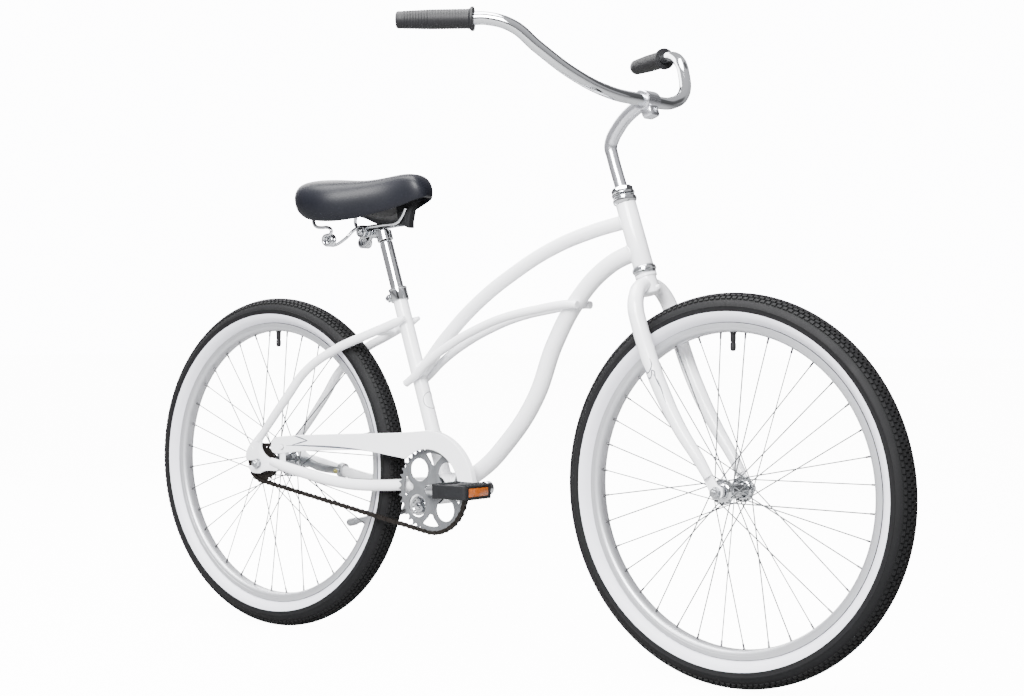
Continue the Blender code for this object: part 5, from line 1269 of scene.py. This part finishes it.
over_ring = round_sprocket(ring_radius, Vector((0, 0)), centre_line, ring_teeth)
cog_centre = Vector((-crank_reach, bottom_bracket_drop))
round_cog = round_sprocket(cog_radius, cog_centre, centre_line + pi, cog_teeth)
rollers = []
for run, after in ((over_ring, round_cog[0]), (round_cog, over_ring[0])):
    rollers += run
    count = round((after - run[-1]).length / chain_pitch)
    rollers += [run[-1].lerp(after, k / count) for k in range(1, count)]
chain_parts = []
for k, place in enumerate(rollers):
    way = rollers[(k + 1) % len(rollers)] - place
    one = copy_of(links[k % 2])
    chain_parts.append(set_down(one, (place.x, place.y, 0), (0, 0, atan2(way.y, way.x))))
for one in links:
    bpy.data.objects.remove(one)
chain = set_down(join(chain_parts), crank_axis - Vector((0, chain_line, 0)), across)
fit_piece(chain, dark_steel, "frame", "dark_steel", "chain")


# Pedal axles: turned steel, each screwed into an arm's eye, with two spanner flats on its collar. The rest of
# it is a slim spindle that the pedal turns on, nearly as long as the pedal is wide.
axle_profile = [
    (0, 0.0622), (0.006, 0.0622), (0.007, 0.063), (0.007, 0.0776), (0.0088, 0.0776), (0.009, 0.078),
    (0.009, 0.085), (0.0086, 0.0853), (0.0055, 0.0853), (0.0055, 0.174), (0, 0.174),
]
for name, side in SIDES:
    tip = Vector((arm_tips[name].x, 0, arm_tips[name].z))
    rod = lathe(outward(axle_profile, side), steps=40)
    for x in (1, -1):
        near, far = sorted((-side * 0.079, -side * 0.084))
        low = (x * 0.0075 - (x < 0) * 0.01, -0.02, near)
        flat = solid_block(low, (x * 0.0075 + (x > 0) * 0.01, 0.02, far), 0)
        cut_away(rod, flat)
    fit_piece(set_down(smooth(rod, 30), tip, across), plate_steel, "crank", "steel", f"pedal_axle_{name}")


# Pedals: one moulding of black nylon each, with a barrel for the axle, two bars ribbed for grip, an amber
# reflector let into each bar's face and a bright pressed cap in the outer end.
nylon = new_finish(
    "moulded black nylon",
    (0.55, 0.75),
    tones=("0B0B0D", "151619"),
    patches=(70, 5),
    grain=(0.0011, 0, 0.12, 0.0002),
    specular=0.25,
)

amber = new_finish("amber acrylic reflector", 0.12, coat=(0.8, 0.05))
tree = amber.node_tree
spot = add_node(tree, "TexCoord").outputs["Object"]
prism_size = 0.0024
prism = add_node(tree, "TexVoronoi", {"Vector": spot, "Scale": 1 / prism_size}, distance="CHEBYCHEV")
blend_tones(tree, prism.outputs["Distance"], ("B85C12", "6E3209"))
raise_grain(tree, prism.outputs["Distance"], 0.5, 0.0006)

cap = [
    (0, 0.0004), (0.0045, 0.0003), (0.0072, -0.0004), (0.0082, -0.0016), (0.0082, -0.0022), (0, -0.0022),
]
barrel = [
    (0.0059, 0.0856), (0.0105, 0.0856), (0.0122, 0.0872), (0.0125, 0.09), (0.0125, 0.1786), (0.0059, 0.1786),
]
pedal_half = 0.04
pedal_inner = 0.1026
pedal_outer = 0.1806
pedal_thick = 0.0246
for name, side in SIDES:
    tip = Vector((arm_tips[name].x, 0, arm_tips[name].z))
    middle = side * (pedal_inner + pedal_outer) / 2
    half_width = (pedal_outer - pedal_inner) / 2
    corners = [(x * pedal_half, y * half_width) for x, y in ((-1, -1), (1, -1), (1, 1), (-1, 1))]
    body = stamp(mitre_round(corners, 0.009, 5), pedal_thick)
    for x in (1, -1):
        window = [(x * 0.0145, -0.031), (x * 0.0288, -0.031), (x * 0.0288, 0.031), (x * 0.0145, 0.031)]
        cut_hole(body, mitre_round(window[::x], 0.003, 3), 0.05)
        recess = solid_block((0.0385 * x - 0.003, -0.0285, -0.0085), (0.0385 * x + 0.003, 0.0285, 0.0085), 0)
        set_down(recess, (x * 0.0012, 0, 0))
        cut_away(body, recess)
    parts = [smooth(body, 30, 0.0012)]
    for x in (1, -1):
        for k in range(-4, 5):
            for z in (1, -1):
                low = (x * 0.0345 - 0.0045, k * 0.0082 - 0.0016, z * 0.0127 - 0.0008)
                high = (x * 0.0345 + 0.0045, k * 0.0082 + 0.0016, z * 0.0127 + 0.0008)
                parts.append(solid_block(low, high, 0.0004))
    barrel_piece = lathe(outward(barrel, side), (0, -middle, 0), across, 40, True)
    pedal = join([*parts, barrel_piece])
    set_down(pedal, tip + Vector((0, middle, 0)))
    fit_piece(pedal, nylon, f"pedal_{name}", "black_plastic", f"pedal_{name}")
    for x, face in ((1, "front"), (-1, "rear")):
        glass_low = (x * 0.0378 - 0.0014, -0.0275, -0.0076)
        glass = solid_block(glass_low, (x * 0.0378 + 0.0014, 0.0275, 0.0076), 0.0006)
        set_down(glass, tip + Vector((0, middle, 0)))
        fit_piece(glass, amber, f"pedal_{name}", "black_plastic", name=f"pedal_{name}_reflector_{face}")
    end_cap = lathe(outward(cap, side), tip + side * (pedal_outer - 0.0004) * sideways, across, 40)
    rivets = []
    for x in (1, -1):
        turn = (0, x * pi / 2, 0)
        place = tip + Vector((x * 0.0398, side * (pedal_inner + 0.0062), 0))
        rivets.append(lathe([(0, 0.0002), (0.0016, 0), (0.0024, -0.0008), (0, -0.0008)], place, turn, 16))
    fit_piece(join([end_cap, *rivets]), chrome, f"pedal_{name}", "chrome", name=f"pedal_{name}_cap")


# Chain guard: a pressed steel cover beside the chain's upper run and the front of the chainring. Its upper
# and front edge is turned in towards the frame, a strap holds it on the seat tube and a bolt on the chain
# stay.
guard_face = 0.058
guard_sheet = 0.0015
guard_depth = 0.0135
guard_rear = -crank_reach
guard_top = [
    (guard_rear + 0.0365, 0.0665), (guard_rear + 0.0395, 0.0765), (guard_rear + 0.048, 0.085),
    (guard_rear + 0.07, 0.0876), (guard_rear + 0.103, 0.0905), (guard_rear + 0.228, 0.0975),
    (-0.078, 0.1045), (-0.05, 0.1072), (-0.024, 0.1096),
]
guard_rim = guard_top + arc((0, 0), 0.112, 90, 9, 27)
guard_outline = guard_rim + arc((0, 0), 0.077, 14, 133, 27)
guard_outline += [
    (-0.1237, 0.0646), (-0.1727, 0.0685), (guard_rear + 0.128, 0.0605), (guard_rear + 0.052, 0.0515),
    (guard_rear + 0.041, 0.054), (guard_rear + 0.037, 0.06),
]


def inset_line(points, amount):
    """A line beside another, this far to the right of its way."""
    moved = []
    for k, point in enumerate(points):
        before = Vector(points[max(k - 1, 0)])
        way = (Vector(points[min(k + 1, len(points) - 1)]) - before).normalized()
        moved.append((point[0] + amount * way.y, point[1] - amount * way.x))
    return moved


guard = stamp(mitre_round(guard_outline, 0.02, 2), guard_depth)
smooth(guard, 30, 0.0013)
hollow = inset_line(guard_rim, guard_sheet)
hollow = [(guard_rear - 0.02, hollow[0][1] - 0.03), (hollow[0][0] - 0.0005, hollow[0][1] - 0.03), *hollow]
hollow += [(0.1112, -0.03), (0.16, -0.06), (guard_rear - 0.02, -0.06)]
cut_away(guard, stamp(hollow, guard_depth, (0, 0, -guard_sheet)))
smooth(guard, 30)
set_down(guard, crank_axis - Vector((0, guard_face + guard_sheet - guard_depth / 2, 0)), across)
strap_height = 0.399
strap_x = crank_axis.x - (strap_height - crank_axis.z) / tan(seat_angle)
strap_low = (strap_x - 0.01, -guard_face - 0.0004, strap_height)
strap = solid_block(strap_low, (strap_x + 0.01, -0.0135, strap_height + 0.0022), 0.0008)
clip = plain_wall(seat_tube_radius + 0.0001, 0.0158, -0.008, 0.008)
clip_ring = lathe(clip, (strap_x, 0, strap_height), seat_turn, 40, True, 0.0004)
bolt_place = guard_bolt_place - (guard_face + guard_sheet) * sideways
guard_bolt = bolt_head(bolt_place, across, 0.0085, 0.0028, 0.0006)
fit_piece(join([guard, strap, clip_ring, guard_bolt]), enamel, "frame", "white_paint", "chain_guard")


# Pinstripes: fine grey lines laid by brush on the enamel. There is an arrow head and a long swelling line on
# the guard, a ring round the front of the seat tube and pointed curls on the outside of the fork blades.
stripe_enamel = new_finish("grey lining enamel", 0.35, tones=("30323E", "5A5C68"), patches=(140, 3))

guard_place = crank_axis - Vector((0, guard_face + guard_sheet, 0))
stripe_routes = [
    ([(0.1, 0.09), (0.116, 0.0868), (0.1386, 0.0813)], [0.6, 1.3, 0.9]),
    ([(0.1386, 0.0813), (0.117, 0.076), (0.097, 0.0712)], [0.9, 1.2, 0.5]),
    (
        [(0.08, 0.069), (0.105, 0.0706), (0.1429, 0.0712), (0.2047, 0.0714), (0.2655, 0.0696)]
        + [(0.3052, 0.0668)],
        [0.3, 0.8, 1.3, 1.6, 1.2, 0.3],
    ),
]
stripes = []
for points, widths in stripe_routes:
    route = [guard_place + Vector((guard_rear + x, 0, z)) for x, z in points]
    stripes.append(bent_tube(route, 0.0012, widths, steps=8, roundness=1))
guard_stripes = join(stripes)
pick(guard_stripes)
bpy.ops.object.mode_set(mode="EDIT")
bpy.ops.mesh.select_all(action="SELECT")
bpy.ops.transform.resize(value=(1, 0.25, 1), center_override=guard_place)
bpy.ops.object.mode_set(mode="OBJECT")
fit_piece(guard_stripes, stripe_enamel, "frame", "white_paint", name="guard_pinstripes")

ring_height = 0.17
ring_size = 0.0163
seat_forward = Vector((sin(seat_angle), 0, cos(seat_angle)))
ring_line = []
for k in range(40):
    angle = tau * k / 40
    round_tube = ring_size * cos(angle) / seat_tube_radius
    out = cos(round_tube) * seat_forward + sin(round_tube) * sideways
    ring_line.append(on_seat_tube(ring_height + ring_size * sin(angle)) + seat_tube_radius * out)
seat_ring = bent_tube(ring_line, 0.0006, steps=2, roundness=1, closed=True)
fit_piece(seat_ring, stripe_enamel, "frame", "white_paint", name="seat_tube_ring")

curls = [
    [(0.0105, 0.25), (0.008, 0.238), (-0.001, 0.2285), (-0.0085, 0.227), (-0.015, 0.233), (-0.0175, 0.242)],
    [(-0.017, 0.2275), (-0.01, 0.2185), (-0.0035, 0.2172), (0.003, 0.223), (0.0065, 0.229)]
    + [(0.009, 0.214), (0.0115, 0.199)],
    [(0.006, 0.223), (0.0115, 0.208), (0.014, 0.19), (0.015, 0.17)],
]
for name, side in SIDES:
    lines = []
    for curl in curls:
        route = []
        for forward, up in curl:
            place = steering_foot + forward * steering_forward + up * steering_up
            place.y = side * (fork_spread + 0.018)
            route.append(bpy.data.objects[f"fork_blade_{name}_skin"].closest_point_on_mesh(place)[1])
        widths = [0.4] + [1] * (len(route) - 2) + [0.3]
        lines.append(bent_tube(route, 0.001, widths, steps=5, roundness=1))
    fit_piece(join(lines), stripe_enamel, "fork", "white_paint", name=f"fork_pinstripes_{name}")


# Coaster brake: a plated steel arm from the hub's left cone to a strap round the left chain stay, which takes
# the turning force when the rider pedals backwards. A bolt and a yellow-passivated nut shut the strap.
left_stay = chain_stay_route(1)
strap_at = crossing(left_stay, 0, rear_axle.x + 0.13)
arm_thickness = 0.004
arm_inner = 0.044
arm_end_y = strap_at.y - 0.0085 - 0.002 - arm_thickness / 2 - 0.0012
arm_mid_y = arm_inner + arm_thickness / 2
arm_bend = 0.4 * strap_at.z + 0.6 * rear_axle.z - 0.004
arm_line = [
    rear_axle + Vector((0, arm_mid_y, 0)),
    rear_axle + Vector((0.03, arm_mid_y, 0)),
    Vector((rear_axle.x + 0.075, (arm_mid_y + arm_end_y) / 2 - 0.001, arm_bend)),
    Vector((strap_at.x + 0.008, arm_end_y, strap_at.z)),
]
brake_bar = bent_tube(arm_line, 0, [1, 1, 0.9, 0.76], oval=(0.002, 0.0095), steps=8, roundness=6)
boss = [
    (0.0098, -arm_inner), (0.0125, -arm_inner), (0.013, -arm_inner - 0.0006), (0.013, -arm_inner - 0.0036),
    (0.0125, -arm_inner - 0.004), (0.0098, -arm_inner - 0.004),
]
brake_boss = lathe(boss, rear_axle, across, 48, True)
arm_rivet = bolt_head(Vector((strap_at.x, arm_end_y - arm_thickness / 2, strap_at.z)), across, 0.009, 0.0036)
brake_arm = join([brake_bar, brake_boss, arm_rivet])
fit_piece(brake_arm, plate_steel, "frame", "chrome", "brake_arm")

band = lathe(plain_wall(0.0118, 0.0136, -0.006, 0.006), steps=48, closed=True, bevel=0.0004)
band.scale = (0.93, 1.14, 1)
set_down(band)
stay_way = (crossing(left_stay, 0, strap_at.x + 0.01) - strap_at).normalized()
set_down(band, strap_at, facing(stay_way))
strap_bolt = bolt_head(strap_at + Vector((0, 0, -0.0178)), (pi, 0, 0), 0.009, 0.0032, 0.0006)
ears_low = strap_at + Vector((-0.005, -0.003, -0.0176))
strap_ears = solid_block(ears_low, strap_at + Vector((0.005, 0.003, -0.0125)), 0.001)
brake_strap = join([band, strap_ears, strap_bolt])
fit_piece(brake_strap, plate_steel, "frame", "steel", "brake_strap")
yellow_zinc = new_finish(
    "yellow-passivated zinc plate", 0.35, metallic=0.9, tones=("C7B36C", "8F9A6C"), patches=(300, 2)
)
nut_place = Vector((strap_at.x, arm_end_y - arm_thickness / 2 - 0.0036, strap_at.z))
strap_nut = bolt_head(nut_place, across, 0.0085, 0.0038, 0, 0.0024)
fit_piece(strap_nut, yellow_zinc, "frame", "steel", name="brake_strap_nut")


# Seat post: a drawn steel tube, polished and chromed, that slides in the seat tube. Its top is swaged to a
# narrower neck, given the dark oiled steel finish as painted shade for the dark reflection inside the clamp.
post_low = seat_tube_length + 0.118 - 0.3
post_top = seat_tube_length + 0.118
neck_low = post_top - 0.021
post_profile = [
    (0, post_low), (0.0108, post_low), (0.0108, post_low + 0.002), (0.0118, post_low),
    (post_radius, post_low + 0.0008), (post_radius, neck_low - 0.004), (0.0124, neck_low - 0.002),
    (0.011, neck_low), (0.0108, neck_low + 0.001), (0.0108, post_top - 0.001), (0.01, post_top),
    (0, post_top),
]
post = lathe(post_profile, crank_axis, seat_turn, 64)
fit_piece(post, chrome, "post", "chrome", "seatpost")
# The neck's band is painted shade: the dark steel finish stands for the dark reflection inside the clamp.
post.data.materials.append(dark_steel)
for face in post.data.polygons:
    up = (face.center - crank_axis).dot(seat_up)
    face.material_index = int(neck_low - 0.0005 < up < post_top)


# Saddle clamp: a pressed and plated collar on the post's neck, with a cross bolt behind it whose toothed
# washers grip the saddle's two wires from both sides.
saddle_bolt = Vector((-0.28313, 0, 0.79406))
collar_ring = [
    (0.0111, post_top - 0.019), (0.0148, post_top - 0.019), (0.0156, post_top - 0.0182),
    (0.0156, post_top - 0.0013), (0.0148, post_top - 0.0005), (0.0111, post_top - 0.0005),
]
collar_piece = lathe(collar_ring, crank_axis, seat_turn, 48, True)
collar_at = on_seat_tube(post_top - 0.01)
yoke_low = (saddle_bolt.x - 0.009, -0.012, saddle_bolt.z - 0.01)
yoke = solid_block(yoke_low, (collar_at.x, 0.012, saddle_bolt.z + 0.007), 0.003)
cut_away(yoke, set_down(cylinder(0.0112, 0.08), collar_at, seat_turn))
smooth(yoke, 30)
washer = [
    (0.004, 0), (0.0108, 0), (0.012, 0.001), (0.012, 0.0034), (0.0112, 0.0048), (0.0082, 0.005),
    (0.0076, 0.0042), (0.004, 0.0042),
]
clamp_parts = [collar_piece, yoke]
for side in (1, -1):
    for start in (0.0132, 0.0258):
        moved = [(radius, start + height) for radius, height in washer]
        clamp_parts.append(lathe(outward(moved, side), saddle_bolt, across, 48, True))
    nut_turn = (-side * pi / 2, 0, 0)
    nut_at = saddle_bolt + Vector((0, side * 0.0302, 0))
    clamp_parts.append(bolt_head(nut_at, nut_turn, 0.0125, 0.005, 0, 0.0032))
cross_bolt = plain_wall(0, 0.004, -0.0355, 0.0355)
clamp_parts.append(lathe(cross_bolt, saddle_bolt, across, 32))
saddle_clamp = join(clamp_parts)
fit_piece(saddle_clamp, chrome, "post", "chrome", "saddle_clamp")


# Saddle wires: two bright spring steel wires, each bent from the nose back over the clamp, round a double
# coil under the rider and up to the rear of the base.
nose_x = 0.148
crown = 0.103
coil_centre = -0.061
coil_low = -0.026
coil_radius = 0.0095
coil_pitch = 0.0082
for name, side in SIDES:
    wire = [
        (nose_x - 0.048, 0.0118, crown - 0.061), (nose_x - 0.058, 0.0132, crown - 0.079),
        (nose_x - 0.068, 0.0148, crown - 0.088), (0.052, 0.019, 0.0118), (0.03, 0.022, 0.01),
        (0.012, 0.022, 0.0085), (-0.012, 0.022, 0.0085), (-0.022, 0.027, 0.002), (-0.034, 0.036, -0.013),
    ]
    for k in range(31):
        angle = tau * k / 12
        y = 0.05 + coil_pitch * angle / tau - coil_pitch
        wire.append((coil_centre - coil_radius * sin(angle), y, coil_low + coil_radius * (1 - cos(angle))))
    last = wire[-1][1]
    wire += [
        (-0.049, last, -0.004), (-0.0475, last, 0.003), (-0.056, last, 0.008), (-0.074, last, 0.0085),
        (-0.09, last - 0.001, 0.012), (-0.0965, last - 0.002, 0.022), (-0.094, last - 0.004, crown - 0.07),
        (-0.087, last - 0.006, crown - 0.0625),
    ]
    route = [saddle_bolt + Vector((x, side * y, z)) for x, y, z in wire]
    rail = bent_tube(route, 0.0034, steps=4, roundness=4)
    fit_piece(rail, chrome, "saddle", "chrome", f"saddle_rail_{name}")


# Saddle base: a moulded black pan under the padding, with a deep keel at the nose that the wires run beside.
saddle_rear = -0.125
saddle_length = 0.273
saddle_half_width = 0.118
saddle_plan = [
    (0, 0.5, -0.031, -0.057), (0.012, 0.66, -0.02, -0.061), (0.035, 0.8, -0.0095, -0.064),
    (0.09, 0.935, -0.0025, -0.068), (0.14, 0.98, -0.0005, -0.0755), (0.2, 1, 0.0005, -0.0825),
    (0.33, 0.975, -0.0015, -0.086), (0.44, 0.86, -0.004, -0.0855), (0.55, 0.665, -0.0045, -0.0795),
    (0.66, 0.48, -0.001, -0.071), (0.75, 0.36, 0.0035, -0.0645), (0.84, 0.293, 0.006, -0.057),
    (0.915, 0.253, 0.0025, -0.0495), (0.955, 0.215, -0.006, -0.0455), (0.985, 0.155, -0.0175, -0.0425),
    (1, 0.085, -0.028, -0.0405),
]


def loft(rings, subdivide=0):
    """A closed skin over a row of closed rings of points, with a face at each end."""
    piece = join([close_up(draw(ring, True)) for ring in rings])
    pick(piece)
    bpy.ops.object.mode_set(mode="EDIT")
    bpy.ops.mesh.select_all(action="SELECT")
    bpy.ops.mesh.bridge_edge_loops()
    count = len(rings[0])
    for first in (0, (len(rings) - 1) * count):
        select_verts(piece, lambda v: first <= v.index < first + count)
        bpy.ops.mesh.edge_face_add()
    close_up(piece)
    if subdivide:
        shape_with(piece, "SUBSURF", levels=subdivide, render_levels=subdivide)
    return piece


pan_rings = []
for share, width, _, low in saddle_plan[4:-3]:
    x = saddle_rear + share * saddle_length
    half = 0.87 * (0.9 * width * saddle_half_width - 0.011)
    high = crown + low + 0.0208
    pan_rings.append(
        [
            (x, -half, high - 0.0034), (x, -half, high - 0.0008), (x, -0.9 * half, high),
            (x, 0.9 * half, high), (x, half, high - 0.0008), (x, half, high - 0.0034),
        ]
    )
pan = loft(pan_rings)
keel_outline = [
    (nose_x - 0.034, crown - 0.033), (nose_x - 0.0365, crown - 0.06), (nose_x - 0.043, crown - 0.088),
    (nose_x - 0.0425, crown - 0.1), (nose_x - 0.07, crown - 0.089), (nose_x - 0.078, crown - 0.0465),
]
keel = stamp(mitre_round(keel_outline, 0.004), 0.016, (0, 0, 0), across, 0.0015)
rib_outline = mitre_round([(0.1, 0.06), (0.099, 0.012), (0.092, 0.015), (0.088, 0.058)], 0.002)
keel_rib = stamp(rib_outline, 0.0176, (0, 0, 0), across, plate_bevel)
base = join([smooth(pan, 30, 0.0008), keel, keel_rib])
fit_piece(set_down(base, saddle_bolt), nylon, "saddle", "black_plastic", "saddle_base")


# Saddle cushion: thick foam under one stretched piece of blue-black vinyl, turned under the edge of the base.
# It has no seam in sight, and the light lies on it in broad soft patches.
vinyl = new_finish(
    "embossed blue-black vinyl",
    (0.36, 0.47),
    tones=("0C0D12", "15161D"),
    patches=(14, 4),
    grain=(0.0012, 0, 0.16, 0.0002),
    specular=0.2,
)

cushion_section = [
    (0.8, 0.012), (0.845, -0.005), (0.9, 0.03), (0.965, 0.2), (1, 0.42), (0.985, 0.62), (0.9, 0.82),
    (0.7, 0.945), (0.36, 1),
]
cushion_rings = []
for row, (share, width, top, low) in enumerate(saddle_plan):
    x = saddle_rear + share * saddle_length
    half = width * saddle_half_width
    rise = top - low
    underside = crown + low + (0.0215 if 3 < row < len(saddle_plan) - 3 else 0.002)
    outer = [(x, -w * half, crown + low + h * rise) for w, h in cushion_section]
    crest = [(x, 0, crown + top + 0.0004)]
    inner = [(x, w * half, underside) for w in (0.77, 0, -0.77)]
    cushion_rings.append(outer + crest + [(x, -y, z) for x, y, z in reversed(outer)] + inner)
cushion = loft(cushion_rings, 2)
bpy.ops.object.shade_smooth()
set_down(cushion, saddle_bolt)
fit_piece(cushion, vinyl, "saddle", "black_vinyl", "saddle_cushion")


# Kickstand: a cast hub that folds on a pin under its bracket, a bent steel leg in silver paint, and a thicker
# sleeve on its foot. It is shown folded up, along the left chain stay.
silver = new_finish(
    "silver-painted steel", (0.3, 0.46), metallic=0.7, tones=("B0B2B5", "96989B"), patches=(220, 3)
)

leg_line = [
    (0, 0, 0), (-0.015, 0, -0.0015), (-0.033, 0.0005, -0.006), (-0.073, 0.0095, -0.0165),
    (-0.16, 0.0365, -0.034), (-0.2725, 0.07, -0.057),
]
leg_route = [kickstand_pivot + Vector(p) for p in leg_line]
leg = bent_tube(leg_route, 0.006, steps=8, roundness=5)
foot_way = (leg_route[-1] - leg_route[-2]).normalized()
sleeve = [
    (0.0058, -0.028), (0.0072, -0.0275), (0.008, -0.026), (0.0081, -0.004), (0.0074, -0.001),
    (0.0055, 0.0002), (0, 0.0005),
]
foot = lathe(sleeve, leg_route[-1] - 0.0006 * foot_way, facing(foot_way), 32)
hub_profile = [
    (0, -0.0065), (0.0085, -0.0065), (0.0095, -0.0055), (0.0095, 0.0055), (0.0085, 0.0065), (0, 0.0065),
]
fold_hub = lathe(hub_profile, kickstand_pivot, facing(fold_axis), 40)
pin_head = bolt_head(kickstand_pivot - 0.0065 * fold_axis, facing(-fold_axis), 0.0085, 0.003)
kickstand = join([leg, foot, fold_hub, pin_head])
fit_piece(kickstand, silver, "kickstand", "steel", "kickstand")
